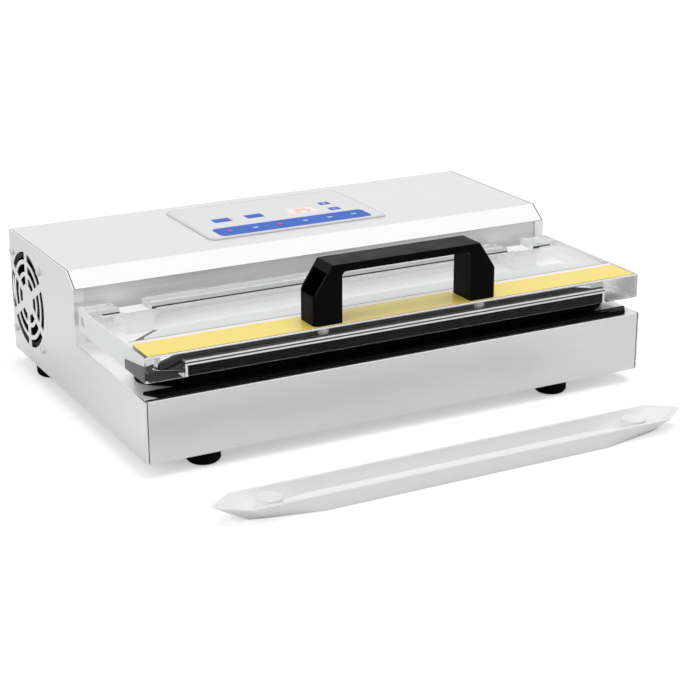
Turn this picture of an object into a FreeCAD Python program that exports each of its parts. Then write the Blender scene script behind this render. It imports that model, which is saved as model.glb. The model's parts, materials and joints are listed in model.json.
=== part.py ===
import FreeCAD, Part
import math
import os
import Sketcher

# A bench-top vacuum sealer: sheet-metal housing, clear hinged lid and a loose drip tray.
# Millimetres. X runs along the front, Y to the back, Z up from the table.
# The origin is the middle of the housing's footprint on the table.

DRIVING_SIZES = {
    # Housing
    "body_width": 465,
    "top_depth": 150,
    "rear_height": 112,
    "deck_height": 52,
    "bay_depth": 152,
    "slope_run": 16,
    "slope_drop": 12,
    "sheet_thickness": 1.2,
    "seam_gap": 0.2,
    "bend_radius": 1,
    "front_return": 5,
    "cover_drop": 25,
    "flange_width": 8,
    "relief_width": 9,
    "relief_height": 7,
    # Feet
    "foot_height": 12,
    "foot_diameter": 28,
    "foot_edge": 2.5,
    "front_foot_left": 54,
    "front_foot_right": 80,
    "front_foot_back": 17,
    "rear_foot_side": 16,
    "rear_foot_back": 54,
    "foot_screw_diameter": 4,
    "foot_screw_head": 7,
    "foot_screw_head_height": 3,
    "foot_screw_bite": 8,
    "screw_clearance": 0.2,
    # Chamber and drip tray
    "chamber_gap": 1.5,
    "nose_ratio": 1.35,
    "tray_side": 16.5,
    "tray_half_width": 19,
    "tray_height": 14,
    "tray_wall": 3,
    "tray_floor": 2.5,
    "tray_nose_radius": 7.5,
    "tray_keel_inset": 31,
    "tray_keel_nose": 4.5,
    "tray_nose_width": 2.5,
    "tray_flare": 1.5,
    "tray_straight_inset": 88,
    "tray_bow_inset": 44,
    "tray_bow_half_width": 8,
    "tray_knob_diameter": 20,
    "tray_knob_inset": 50,
    "tray_knob_drop": 1,
    "tray_front_gap": 98,
    "tray_shift": -10,
    "tray_clearance": 1.5,
    "trough_depth": 17,
    "trough_wall": 1.5,
    "trough_flange": 10,
    "gasket_setback": 1,
    "gasket_width": 8,
    "gasket_edge": 1.5,
    "lower_gasket_height": 7,
    "skirt_thickness": 0.25,
    "skirt_side": 4.5,
    "skirt_front": 2,
    "skirt_depth": 34,
    "skirt_bar_gap": 2.4,
    # Seal bar on the deck
    "seal_bar_side": 4.5,
    "seal_bar_front": 4,
    "seal_bar_width": 12,
    "seal_bar_height": 3,
    "seal_bar_end": 8,
    "heating_strip_width": 5,
    "heating_strip_thickness": 0.4,
    "heating_strip_side": 27.5,
    # Lid
    "lid_side_inset": 1,
    "lid_front_inset": 2,
    "lid_rear_gap": 6,
    "lid_thickness": 21,
    "lid_lift": 14,
    "lid_rest_gap": 0.3,
    "lid_edge": 0.8,
    "lid_corner": 2,
    "lid_pocket_depth": 14,
    "groove_front": 21.5,
    "groove_width": 10,
    "groove_depth": 8,
    "groove_end": 10,
    "press_bar_side": 35.5,
    "press_bar_setback": 3,
    "press_bar_width": 9,
    "press_bar_height": 8.4,
    "press_backing_height": 4.2,
    "press_backing_end": 2,
    "press_bar_clearance": 0.1,
    # Hinge
    "shaft_diameter": 8,
    "shaft_clearance": 0.05,
    "block_width": 25,
    "block_side": 30,
    "block_front": 20,
    "block_rear": 8,
    "block_rise": 6,
    "block_round": 3,
    "block_side_gap": 1.5,
    "block_front_gap": 4,
    # Handle
    "handle_width": 170,
    "handle_depth": 27,
    "handle_height": 49,
    "handle_leg": 25,
    "handle_bar": 6.5,
    "handle_bevel_rise": 24,
    "handle_bevel_run": 16.5,
    "handle_back": 18,
    "handle_wall": 2.5,
    "handle_seat": 14,
    "handle_round": 4,
    "handle_inner_round": 4,
    "handle_screw_diameter": 6,
    "handle_screw_head": 10,
    "handle_screw_head_height": 5.5,
    "handle_screw_key": 5,
    "handle_screw_bite": 8,
    "handle_screw_inset": 11.5,
    # Yellow strip on the lid
    "strip_depth": 39,
    "strip_side": 4,
    "strip_front": 1.5,
    "strip_thickness": 0.3,
    # Control panel
    "panel_width": 178,
    "panel_depth": 108,
    "panel_shift": 5,
    "panel_thickness": 1,
    "panel_corner": 7,
    "key_clearance": 0.15,
    "key_thickness": 0.6,
    "wide_key_width": 17,
    "wide_key_depth": 12,
    "small_key_width": 10.5,
    "small_key_depth": 9,
    "first_key_x": -54,
    "second_key_x": -21.5,
    "wide_key_y": 1,
    "small_key_x": 56,
    "plus_key_y": 11,
    "minus_key_y": -10,
    "display_x": 26,
    "display_y": -2,
    "display_width": 26,
    "display_depth": 18,
    "status_width": 152,
    "status_depth": 26,
    "status_front": 5,
    "status_thickness": 0.4,
    "status_corner": 5,
    "light_width": 5,
    "light_depth": 3,
    "light_thickness": 0.3,
    "light_spacing": 25,
    # Control board
    "board_inset": 5,
    "board_thickness": 1.6,
    "board_drop": 10,
    "post_width": 6,
    "post_inset": 6,
    # Fan
    "fan_size": 80,
    "fan_depth": 25,
    "fan_hole_inset": 4.25,
    "fan_rear": 43.5,
    "fan_height": 57,
    "fan_wall": 1.5,
    "fan_hub_diameter": 32,
    "fan_hub_depth": 19,
    "fan_hub_wall": 3,
    "fan_axle_end": 0.5,
    "fan_front_gap": 2,
    "fan_tip_gap": 1.5,
    "fan_blade_thickness": 1.6,
    "fan_blade_chord": 19,
    "fan_strut_width": 5,
    "fan_strut_depth": 3,
    "fan_axle_diameter": 3,
    "fan_screw_diameter": 4.2,
    "fan_screw_head": 7.6,
    "fan_screw_head_height": 2,
    "grille_spoke_width": 7,
    "grille_margin": 3,
    "grille_slot_width": 7,
    "grille_land_width": 4,
    # Vacuum pump, valve, hose and transformer
    "pump_x": -10,
    "pump_front": 35,
    "pump_head_width": 64,
    "pump_head_depth": 54,
    "pump_head_height": 48,
    "pump_mount_height": 8,
    "pump_mount_width": 14,
    "pump_mount_inset": 10,
    "motor_diameter": 46,
    "motor_length": 84,
    "valve_width": 22,
    "valve_depth": 26,
    "valve_height": 12,
    "valve_coil_diameter": 18,
    "valve_coil_height": 8,
    "hose_diameter": 9,
    "hose_bore": 5,
    "transformer_side": 58,
    "transformer_back": 81,
    "core_width": 72,
    "core_depth": 34,
    "core_height": 60,
    "core_leg": 12,
    "coil_width": 46,
    "coil_depth": 50,
    "coil_height": 34,
    # Rear panel fittings
    "inlet_side": 82.5,
    "inlet_z": 42,
    "inlet_width": 50,
    "inlet_height": 27,
    "inlet_flange": 2.5,
    "inlet_depth": 24,
    "inlet_corner": 5,
    "socket_width": 24.4,
    "socket_height": 16.6,
    "socket_depth": 17,
    "socket_cut": 4.5,
    "inlet_wall": 1.5,
    "pin_width": 2,
    "pin_height": 4,
    "pin_length": 15,
    "pin_spacing": 7,
    "switch_spacing": 55,
    "switch_width": 20,
    "switch_height": 27,
    "switch_flange": 2.5,
    "switch_depth": 15,
    "switch_corner": 2,
    "switch_wall": 1.2,
    "switch_pocket": 11,
    "rocker_width": 14,
    "rocker_half_height": 8,
    "rocker_out": 3,
    "rocker_crest": 0.5,
    "rocker_root": 4,
    "rocker_pivot": 7,
    "rocker_tilt": 10,
    "rocker_pin_diameter": 3,
    "rocker_clearance": 0.05,
}

DERIVED_SIZES = {
    # Housing
    "half_width": "=body_width / 2",
    "body_depth": "=bay_depth + slope_run + top_depth",
    "inner_half": "=half_width - sheet_thickness - seam_gap",
    "inner_width": "=2 * inner_half",
    "front_y": "=-body_depth / 2",
    "rear_y": "=body_depth / 2",
    "base_z": "=foot_height",
    "base_top": "=base_z + sheet_thickness",
    "deck_z": "=foot_height + deck_height",
    "deck_under": "=deck_z - sheet_thickness",
    "top_z": "=foot_height + rear_height",
    "top_under": "=top_z - sheet_thickness",
    "bay_y": "=front_y + bay_depth",
    "ridge_y": "=bay_y + slope_run",
    "slope_z": "=top_z - slope_drop",
    "slope_wall": "=sheet_thickness * sqrt(slope_run ^ 2 + slope_drop ^ 2) / slope_drop",
    "slope_inner_y": "=bay_y + slope_wall",
    "ridge_inner_y": "=slope_inner_y + (slope_drop - sheet_thickness) * slope_run / slope_drop",
    "front_inner_y": "=front_y + sheet_thickness",
    "return_y": "=front_y + front_return",
    "deck_front_y": "=return_y + seam_gap",
    "wall_front_y": "=bay_y + sheet_thickness + seam_gap",
    "wall_rear_y": "=wall_front_y + sheet_thickness",
    "wall_foot_y": "=wall_rear_y + flange_width",
    "relief_x": "=half_width - relief_width",
    "relief_z": "=deck_z + relief_height",
    "wall_foot_z": "=deck_z + sheet_thickness",
    "wall_top_z": "=slope_z - seam_gap",
    "flange_front_y": "=bay_y",
    "flange_rear_y": "=bay_y + sheet_thickness",
    "flange_reach": "=flange_width + sheet_thickness",
    "flange_bottom": "=deck_z",
    "left_x": "=-half_width",
    "right_x": "=half_width - sheet_thickness",
    "right_flange_x": "=half_width - flange_reach",
    "cover_inner_y": "=rear_y - sheet_thickness",
    "cover_bottom": "=top_z - cover_drop",
    "rear_panel_y": "=cover_inner_y - seam_gap",
    "rear_panel_top": "=top_under - seam_gap",
    "base_front_y": "=front_inner_y + seam_gap",
    "base_rear_y": "=rear_panel_y",
    # Feet
    "left_front_foot_x": "=-half_width + front_foot_left",
    "right_front_foot_x": "=half_width - front_foot_right",
    "front_foot_y": "=front_y + front_foot_back",
    "rear_foot_x": "=half_width - rear_foot_side",
    "rear_foot_y": "=rear_y - rear_foot_back",
    "foot_screw_hole": "=foot_screw_diameter + 2 * screw_clearance",
    "foot_screw_length": "=sheet_thickness + foot_screw_bite",
    "foot_bore_depth": "=foot_screw_bite + screw_clearance",
    # Chamber: every outline is the tray's outline set off outwards
    "chamber_y": "=seal_bar_y2 + chamber_gap + gasket_outer_width",
    "nose_slant": "=sqrt(1 + nose_ratio ^ 2)",
    "tray_half_length": "=half_width - tray_side",
    "tray_keel_half_length": "=tray_half_length - tray_keel_inset",
    "tray_keel_straight": "=tray_half_length - tray_straight_inset",
    "tray_bow_half_length": "=tray_half_length - tray_bow_inset",
    "tray_keel_half_width": "=tray_half_width - tray_flare",
    "tray_shoulder": "=tray_half_length - nose_ratio * tray_half_width",
    "tray_inner_width": "=tray_half_width - tray_wall",
    "tray_inner_length": "=tray_half_length - nose_slant * tray_wall",
    "tray_inner_shoulder": "=tray_inner_length - nose_ratio * tray_inner_width",
    "tray_inner_nose": "=tray_nose_width - tray_wall / 3",
    "tray_inner_nose_x": "=tray_inner_length - nose_ratio * tray_inner_nose",
    "tray_floor_length": "=tray_keel_half_length - tray_wall",
    "tray_floor_nose": "=tray_keel_nose / 2",
    "tray_floor_bow": "=tray_bow_half_length - tray_wall",
    "tray_floor_bow_width": "=tray_bow_half_width - tray_wall / 3",
    "tray_floor_width": "=tray_keel_half_width - tray_wall",
    "tray_knob_height": "=tray_height - tray_floor - tray_knob_drop",
    "tray_knob_x": "=tray_half_length - tray_knob_inset",
    "tray_nose_x": "=tray_half_length - nose_ratio * tray_nose_width",
    "tray_y": "=front_y - tray_front_gap",
    "trough_width": "=tray_half_width + tray_clearance",
    "trough_length": "=tray_half_length + nose_slant * tray_clearance",
    "trough_shoulder": "=trough_length - nose_ratio * trough_width",
    "trough_nose": "=tray_nose_radius + tray_clearance",
    "trough_outer_width": "=trough_width + trough_wall",
    "trough_outer_length": "=trough_length + nose_slant * trough_wall",
    "trough_outer_shoulder": "=trough_outer_length - nose_ratio * trough_outer_width",
    "trough_outer_nose": "=trough_nose + trough_wall",
    "trough_outer_depth": "=trough_depth + trough_wall",
    "trough_rim_width": "=trough_width + trough_flange",
    "trough_rim_length": "=trough_length + trough_flange",
    "gasket_inner_width": "=trough_width + gasket_setback",
    "gasket_inner_length": "=trough_length + nose_slant * gasket_setback",
    "gasket_inner_shoulder": "=gasket_inner_length - nose_ratio * gasket_inner_width",
    "gasket_inner_nose": "=trough_nose + gasket_setback",
    "gasket_outer_width": "=gasket_inner_width + gasket_width",
    "gasket_outer_length": "=gasket_inner_length + nose_slant * gasket_width",
    "gasket_outer_shoulder": "=gasket_outer_length - nose_ratio * gasket_outer_width",
    "gasket_outer_nose": "=gasket_inner_nose + gasket_width",
    "lid_gasket_height": "=lid_lift - lower_gasket_height - lid_rest_gap",
    "lid_gasket_z": "=deck_z + lower_gasket_height + lid_rest_gap",
    # Seal bar
    "seal_bar_half_length": "=half_width - seal_bar_side",
    "seal_bar_y1": "=front_y + seal_bar_front",
    "seal_bar_y2": "=seal_bar_y1 + seal_bar_width",
    "seal_bar_short": "=seal_bar_half_length - seal_bar_end",
    "seal_bar_top": "=deck_z + seal_bar_height",
    "heating_strip_half_length": "=half_width - heating_strip_side",
    "heating_y1": "=(seal_bar_y1 + seal_bar_y2 - heating_strip_width) / 2",
    "heating_y2": "=heating_y1 + heating_strip_width",
    # Lid
    "lid_half": "=half_width - lid_side_inset",
    "lid_front": "=front_y + lid_front_inset",
    "lid_rear": "=bay_y - lid_rear_gap",
    "lid_bottom": "=deck_z + lid_lift",
    "lid_top": "=lid_bottom + lid_thickness",
    "hinge_y": "=lid_rear - lid_thickness / 2",
    "hinge_z": "=lid_bottom + lid_thickness / 2",
    "groove_y1": "=hinge_y - groove_front",
    "groove_y2": "=groove_y1 + groove_width",
    "groove_half": "=lid_half - groove_end",
    "press_bar_half_length": "=half_width - press_bar_side",
    "press_y1": "=lid_front + press_bar_setback",
    "press_y2": "=press_y1 + press_bar_width",
    "press_bar_y1": "=press_y1 + press_bar_clearance",
    "press_bar_y2": "=press_y2 - press_bar_clearance",
    "press_bar_half": "=press_bar_half_length - press_bar_clearance",
    "press_bar_end": "=press_bar_half - press_backing_end",
    "press_groove_depth": "=press_bar_height + press_backing_height",
    "press_backing_z": "=lid_bottom + press_bar_height",
    "lid_bore": "=shaft_diameter + 2 * shaft_clearance",
    "shaft_length": "=2 * lid_half",
    # Skirts of the lid's gasket
    "skirt_level": "=lid_gasket_height - skirt_thickness",
    "skirt_x1": "=press_bar_half_length + skirt_bar_gap",
    "skirt_x2": "=lid_half - skirt_side",
    "skirt_y1": "=lid_front + skirt_front - chamber_y",
    "skirt_y2": "=skirt_y1 + skirt_depth",
    # Hinge blocks
    "block_outer_x": "=lid_half - block_side",
    "block_inner_x": "=block_outer_x - block_width",
    "block_y1": "=hinge_y - block_front",
    "block_y2": "=hinge_y + block_rear",
    "block_top": "=hinge_z + block_rise",
    "block_height": "=block_top - deck_z",
    "notch_outer_x": "=block_outer_x + block_side_gap",
    "notch_inner_x": "=block_inner_x - block_side_gap",
    "notch_y1": "=block_y1 - block_front_gap",
    "notch_y2": "=lid_rear + block_front_gap",
    # Handle
    "handle_half": "=handle_width / 2",
    "handle_inner": "=handle_half - handle_leg",
    "handle_under": "=handle_height - handle_bar",
    "handle_y": "=front_y + handle_back",
    "handle_z": "=lid_top + strip_thickness",
    "handle_pocket_outer": "=handle_half - handle_wall",
    "handle_pocket_inner": "=handle_inner + handle_wall",
    "handle_pocket_depth": "=handle_depth - 2 * handle_wall",
    "handle_top_half": "=handle_half - handle_bevel_run",
    "handle_screw_x": "=handle_half - handle_screw_inset",
    "handle_screw_hole": "=handle_screw_diameter + 2 * screw_clearance",
    "handle_screw_z": "=handle_z + handle_seat",
    "handle_screw_length": "=handle_seat + strip_thickness + handle_screw_bite",
    "handle_bore_depth": "=handle_screw_bite + screw_clearance",
    "handle_key_depth": "=handle_screw_head_height / 2",
    # Yellow strip
    "strip_half": "=lid_half - strip_side",
    "strip_y1": "=lid_front + strip_front",
    "strip_y2": "=strip_y1 + strip_depth",
    # Control panel
    "panel_half": "=panel_width / 2",
    "panel_half_depth": "=panel_depth / 2",
    "panel_y": "=ridge_y + top_depth / 2 + panel_shift",
    "wide_key_hole_width": "=wide_key_width + 2 * key_clearance",
    "wide_key_hole_depth": "=wide_key_depth + 2 * key_clearance",
    "small_key_hole_width": "=small_key_width + 2 * key_clearance",
    "small_key_hole_depth": "=small_key_depth + 2 * key_clearance",
    "key_z": "=panel_thickness - key_thickness",
    "status_half": "=status_width / 2",
    "status_y1": "=-panel_half_depth + status_front",
    "status_y2": "=status_y1 + status_depth",
    "status_y": "=(status_y1 + status_y2) / 2",
    "status_z": "=panel_thickness - status_thickness",
    "light_1": "=light_spacing / 2",
    "light_2": "=light_1 + light_spacing",
    "light_3": "=light_2 + light_spacing",
    "board_half": "=panel_half - board_inset",
    "board_half_depth": "=panel_half_depth - board_inset",
    "board_z": "=top_under - board_drop - board_thickness",
    "post_x": "=board_half - post_inset",
    "post_y": "=board_half_depth - post_inset",
    "post_z": "=top_under - board_drop",
    # Fan
    "fan_x": "=left_x + sheet_thickness",
    "fan_y": "=rear_y - fan_rear",
    "fan_z": "=base_z + fan_height",
    "fan_half": "=fan_size / 2",
    "fan_hole": "=fan_half - fan_hole_inset",
    "fan_bore": "=fan_size - 2 * fan_wall",
    "fan_mount_x": "=fan_depth - fan_strut_depth",
    "fan_strut_half": "=fan_strut_width / 2",
    "fan_strut_reach": "=fan_bore / 2 + 1",
    "fan_axle_length": "=fan_mount_x - fan_front_gap - fan_hub_wall - fan_axle_end",
    "fan_rotor_bore": "=fan_axle_diameter + 2 * shaft_clearance",
    "fan_blade_root": "=fan_hub_diameter / 2 - 3",
    "fan_blade_length": "=fan_bore / 2 - fan_tip_gap - fan_blade_root - 1",
    "fan_screw_hole": "=fan_screw_diameter + 2 * screw_clearance",
    "fan_screw_length": "=sheet_thickness + fan_depth / 2",
    "grille_d1": "=fan_size + 2 * grille_margin",
    "grille_d2": "=grille_d1 - 2 * grille_slot_width",
    "grille_d3": "=grille_d2 - 2 * grille_land_width",
    "grille_d4": "=grille_d3 - 2 * grille_slot_width",
    "grille_d5": "=grille_d4 - 2 * grille_land_width",
    "grille_d6": "=grille_d5 - 2 * grille_slot_width",
    "spoke_inner": "=grille_d6 / 2 - 1",
    "spoke_outer": "=grille_d1 / 2 + 1",
    "spoke_half": "=grille_spoke_width / 2",
    # Pump, valve, hose and transformer
    "pump_y": "=bay_y + pump_front",
    "pump_half": "=pump_head_width / 2",
    "pump_rear": "=pump_head_depth",
    "pump_z": "=base_top + pump_mount_height",
    "pump_top": "=pump_z + pump_head_height",
    "pump_mount_x": "=pump_half - pump_mount_inset",
    "pump_mount_y": "=pump_head_depth - pump_mount_inset",
    "motor_y": "=pump_head_depth / 2",
    "motor_z": "=pump_head_height / 2",
    "valve_half": "=valve_width / 2",
    "valve_y1": "=(pump_head_depth - valve_depth) / 2",
    "valve_y2": "=valve_y1 + valve_depth",
    "valve_y": "=pump_head_depth / 2",
    "hose_z": "=deck_under - trough_depth / 2",
    "hose_start": "=chamber_y + trough_outer_width",
    "hose_length": "=pump_y - hose_start",
    "transformer_x": "=half_width - transformer_side",
    "transformer_y": "=rear_y - transformer_back",
    "core_half": "=core_width / 2",
    "core_top": "=core_height",
    "window_half": "=core_half - core_leg",
    "window_top": "=core_height - core_leg",
    "coil_half": "=coil_width / 2",
    "coil_half_depth": "=coil_depth / 2",
    # Rear panel fittings
    "inlet_x": "=-half_width + inlet_side",
    "inlet_half": "=inlet_width / 2",
    "inlet_half_height": "=inlet_height / 2",
    "inlet_place_z": "=base_z + inlet_z",
    "socket_half": "=socket_width / 2",
    "socket_half_height": "=socket_height / 2",
    "socket_top_half": "=socket_half - socket_cut",
    "socket_side_top": "=socket_half_height - socket_cut",
    "inlet_body_half": "=socket_half + inlet_wall",
    "inlet_body_half_height": "=socket_half_height + inlet_wall",
    "inlet_hole_half": "=inlet_body_half + screw_clearance",
    "inlet_hole_half_height": "=inlet_body_half_height + screw_clearance",
    "inlet_hole_left": "=inlet_x - inlet_hole_half",
    "inlet_hole_right": "=inlet_x + inlet_hole_half",
    "inlet_hole_low": "=inlet_place_z - inlet_hole_half_height",
    "inlet_hole_high": "=inlet_place_z + inlet_hole_half_height",
    "pin_half": "=pin_width / 2",
    "pin_half_height": "=pin_height / 2",
    "pin_left": "=pin_spacing - pin_half",
    "pin_right": "=pin_spacing + pin_half",
    "pin_row_low": "=-pin_half_height - 2",
    "pin_row_high": "=pin_half_height - 2",
    "earth_low": "=-pin_half_height + 2",
    "earth_high": "=pin_half_height + 2",
    "pin_level": "=socket_depth - pin_length - inlet_flange",
    "switch_x": "=inlet_x + switch_spacing",
    "switch_half": "=switch_width / 2",
    "switch_half_height": "=switch_height / 2",
    "rocker_half": "=rocker_width / 2",
    "switch_pocket_half": "=rocker_half + 0.4",
    "switch_pocket_half_height": "=rocker_half_height + 2",
    "switch_body_half": "=switch_pocket_half + switch_wall",
    "switch_body_half_height": "=switch_pocket_half_height + switch_wall",
    "switch_hole_left": "=switch_x - switch_body_half - screw_clearance",
    "switch_hole_right": "=switch_x + switch_body_half + screw_clearance",
    "switch_hole_low": "=inlet_place_z - switch_body_half_height - screw_clearance",
    "switch_hole_high": "=inlet_place_z + switch_body_half_height + screw_clearance",
    "switch_total": "=switch_pocket + switch_flange",
    "pivot_y": "=switch_flange - rocker_pivot",
    "rocker_place_y": "=rear_panel_y + pivot_y",
    "rocker_tip": "=rocker_pivot + rocker_out",
    "rocker_middle": "=rocker_pivot + rocker_crest",
    "rocker_low_half": "=rocker_half_height - 3",
    "rocker_bore": "=rocker_pin_diameter + 2 * rocker_clearance",
    "rocker_pin_length": "=2 * switch_pocket_half",
}

doc = FreeCAD.newDocument("VacuumSealer")
sizes = doc.addObject("Spreadsheet::Sheet", "Sizes")
finished = []


def fill_sheet():
    rows = list(DRIVING_SIZES.items()) + list(DERIVED_SIZES.items())
    for row, (name, content) in enumerate(rows, start=1):
        sizes.set("A%d" % row, name)
        sizes.set("B%d" % row, str(content))
        sizes.setAlias("B%d" % row, name)
    doc.recompute()


def value(name):
    """Number behind a size name; a leading minus turns its sign and 0 stays 0."""
    if name == 0:
        return 0.0
    if name.startswith("-"):
        return -float(sizes.get(name[1:]))
    return float(sizes.get(name))


def ref(name):
    """Expression that reads a size from the sheet."""
    if name == 0:
        return "0"
    if name.startswith("-"):
        return "-Sizes." + name[1:]
    return "Sizes." + name


def new_body(name):
    body = doc.addObject("PartDesign::Body", name)
    body.Label = name
    body.AllowCompound = True
    finished.append(body)
    return body


def place(item, x=0, y=0, z=0):
    item.setExpression("Placement.Base.x", ref(x))
    item.setExpression("Placement.Base.y", ref(y))
    item.setExpression("Placement.Base.z", ref(z))


def new_sketch(body, role, level=0, along=0):
    """Sketch on an origin plane, raised by level and moved by along in its own Y."""
    plane = [item for item in body.Origin.OriginFeatures if item.Role == role][0]
    sketch = body.newObject("Sketcher::SketchObject", body.Name + "_sketch")
    sketch.AttachmentSupport = [(plane, "")]
    sketch.MapMode = "FlatFace"
    sketch.setExpression("AttachmentOffset.Base.y", ref(along))
    sketch.setExpression("AttachmentOffset.Base.z", ref(level))
    return sketch


def tie(sketch, rule, text):
    """Add a constraint and bind its number to an expression."""
    index = sketch.addConstraint(rule)
    sketch.setExpression("Constraints[%d]" % index, text)


def pin(sketch, geometry, vertex, x, y):
    """Tie one point of a sketch to named sizes."""
    for kind, axis, name in (("DistanceX", -2, x), ("DistanceY", -1, y)):
        if name == 0:
            sketch.addConstraint(Sketcher.Constraint("PointOnObject", geometry, vertex, axis))
        else:
            tie(sketch, Sketcher.Constraint(kind, -1, 1, geometry, vertex, value(name)), ref(name))


def polygon(sketch, points):
    corners = [FreeCAD.Vector(value(x), value(y), 0) for x, y in points]
    count = len(corners)
    first = sketch.GeometryCount
    for i in range(count):
        sketch.addGeometry(Part.LineSegment(corners[i], corners[(i + 1) % count]), False)
    for i in range(count):
        following = first + (i + 1) % count
        sketch.addConstraint(Sketcher.Constraint("Coincident", first + i, 2, following, 1))
    for i in range(count):
        pin(sketch, first + i, 1, *points[i])


def rectangle(sketch, x1, x2, y1, y2):
    polygon(sketch, [(x1, y1), (x2, y1), (x2, y2), (x1, y2)])


def circle(sketch, x, y, diameter):
    middle = FreeCAD.Vector(value(x), value(y), 0)
    round_line = Part.Circle(middle, FreeCAD.Vector(0, 0, 1), value(diameter) / 2)
    index = sketch.addGeometry(round_line, False)
    pin(sketch, index, 3, x, y)
    tie(sketch, Sketcher.Constraint("Diameter", index, value(diameter)), ref(diameter))


def hexagon(sketch, x, y, across):
    """Six-sided outline about a named point; across is the distance between flats."""
    first = sketch.GeometryCount
    reach = value(across) / math.sqrt(3)
    turns = [math.radians(60 * i) for i in range(6)]
    corners = [FreeCAD.Vector(value(x) + reach * math.cos(turn), value(y) + reach * math.sin(turn), 0)
               for turn in turns]
    for i in range(6):
        sketch.addGeometry(Part.LineSegment(corners[i], corners[(i + 1) % 6]), False)
    for i in range(6):
        following = first + (i + 1) % 6
        sketch.addConstraint(Sketcher.Constraint("Coincident", first + i, 2, following, 1))
    for i in range(6):
        offset = "Sizes.%s / sqrt(3) * %%s(%d)" % (across, 60 * i)
        sideways = ref(x) + " + " + offset % "cos"
        upward = ref(y) + " + " + offset % "sin"
        tie(sketch, Sketcher.Constraint("DistanceX", -1, 1, first + i, 1, corners[i].x), sideways)
        tie(sketch, Sketcher.Constraint("DistanceY", -1, 1, first + i, 1, corners[i].y), upward)


def boat(sketch, length, shoulder, width, nose):
    """Long outline whose ends taper to a round nose; length is to the sharp tip."""
    ratio = value("nose_ratio")
    slant = value("nose_slant")
    radius = value(nose)
    hub = value(length) - radius * slant
    touch = (hub + radius / slant, radius * ratio / slant)
    hub_text = "(Sizes.%s - Sizes.%s * Sizes.nose_slant)" % (length, nose)
    touch_text = (hub_text + " + Sizes.%s / Sizes.nose_slant" % nose,
                  "Sizes.%s * Sizes.nose_ratio / Sizes.nose_slant" % nose)
    side = (value(shoulder), value(width))
    side_text = (ref(shoulder), ref(width))
    start = math.atan2(ratio, 1)
    upright = FreeCAD.Vector(0, 0, 1)
    first = sketch.GeometryCount
    corners = [(side, side_text, -1, -1), (side, side_text, 1, -1), (touch, touch_text, 1, -1),
               (touch, touch_text, 1, 1), (side, side_text, 1, 1), (side, side_text, -1, 1),
               (touch, touch_text, -1, 1), (touch, touch_text, -1, -1)]
    spots = [FreeCAD.Vector(i * place_at[0], j * place_at[1], 0) for place_at, _, i, j in corners]
    for i in range(8):
        if i in (2, 6):
            ring = Part.Circle(FreeCAD.Vector(hub if i == 2 else -hub, 0, 0), upright, radius)
            middle = 0 if i == 2 else math.pi
            sketch.addGeometry(Part.ArcOfCircle(ring, middle - start, middle + start), False)
        else:
            sketch.addGeometry(Part.LineSegment(spots[i], spots[(i + 1) % 8]), False)
    for i in range(8):
        following = first + (i + 1) % 8
        sketch.addConstraint(Sketcher.Constraint("Coincident", first + i, 2, following, 1))
    for i, (_, text, across, along) in enumerate(corners):
        tie(sketch, Sketcher.Constraint("DistanceX", -1, 1, first + i, 1, spots[i].x),
            "%d * (%s)" % (across, text[0]))
        tie(sketch, Sketcher.Constraint("DistanceY", -1, 1, first + i, 1, spots[i].y),
            "%d * (%s)" % (along, text[1]))
    tie(sketch, Sketcher.Constraint("DistanceX", -1, 1, first + 2, 3, hub), hub_text)
    tie(sketch, Sketcher.Constraint("DistanceX", -1, 1, first + 6, 3, -hub), "-" + hub_text)


def pad(body, sketch, length, both=False, back=False):
    feature = body.newObject("PartDesign::Pad", body.Name + "_pad")
    feature.Profile = sketch
    feature.setExpression("Length", ref(length))
    feature.SideType = "Symmetric" if both else "One side"
    feature.Reversed = back
    doc.recompute()
    return feature


def pocket(body, sketch, depth=None, both=False, back=False):
    """Cut a sketch out of the body; without a depth the cut goes right through."""
    before = body.Shape.Volume
    feature = body.newObject("PartDesign::Pocket", body.Name + "_pocket")
    feature.Profile = sketch
    if depth is None:
        feature.Type = "ThroughAll"
    else:
        feature.setExpression("Length", ref(depth))
    feature.SideType = "Symmetric" if both else "One side"
    feature.Reversed = back
    doc.recompute()
    if body.Shape.Volume > before - 1e-3:
        raise ValueError(body.Label + ": a cut removed nothing")
    return feature


def pick(shape, test):
    return ["Edge%d" % (i + 1) for i, edge in enumerate(shape.Edges) if test(edge)]


def soften(body, kind, size_name, test):
    """Fillet or chamfer the edges of the body that pass the test."""
    base = body.Tip
    edges = pick(base.Shape, test)
    if not edges:
        raise ValueError(body.Label + ": no edge to soften")
    feature = body.newObject("PartDesign::" + kind, body.Name + "_" + kind.lower())
    feature.Base = (base, edges)
    feature.setExpression("Radius" if kind == "Fillet" else "Size", ref(size_name))
    doc.recompute()
    return feature


def runs(edge, axis):
    """True for a straight edge parallel to an axis."""
    if not isinstance(edge.Curve, Part.Line):
        return False
    return abs(getattr(edge.tangentAt(edge.FirstParameter), axis)) > 0.999


def centre(edge):
    return edge.BoundBox.Center


def beside(edge, x):
    """True for an edge centred at this distance to either side of the middle."""
    return abs(abs(centre(edge).x) - x) < 0.01


def level_at(edge, height):
    return edge.BoundBox.ZLength < 1e-4 and abs(centre(edge).z - height) < 1e-3


# Housing

def side_outline(sketch):
    polygon(sketch, [
        ("front_y", "base_z"), ("rear_y", "base_z"), ("rear_y", "top_z"), ("ridge_y", "top_z"),
        ("bay_y", "slope_z"), ("bay_y", "deck_z"), ("front_y", "deck_z"),
    ])


def make_side_panel(name, sheet_x, flange_x):
    body = new_body(name)
    outline = new_sketch(body, "YZ_Plane", sheet_x)
    side_outline(outline)
    pad(body, outline, "sheet_thickness")
    flange = new_sketch(body, "YZ_Plane", flange_x)
    rectangle(flange, "flange_front_y", "flange_rear_y", "flange_bottom", "wall_top_z")
    pad(body, flange, "flange_reach")
    return body


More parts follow.
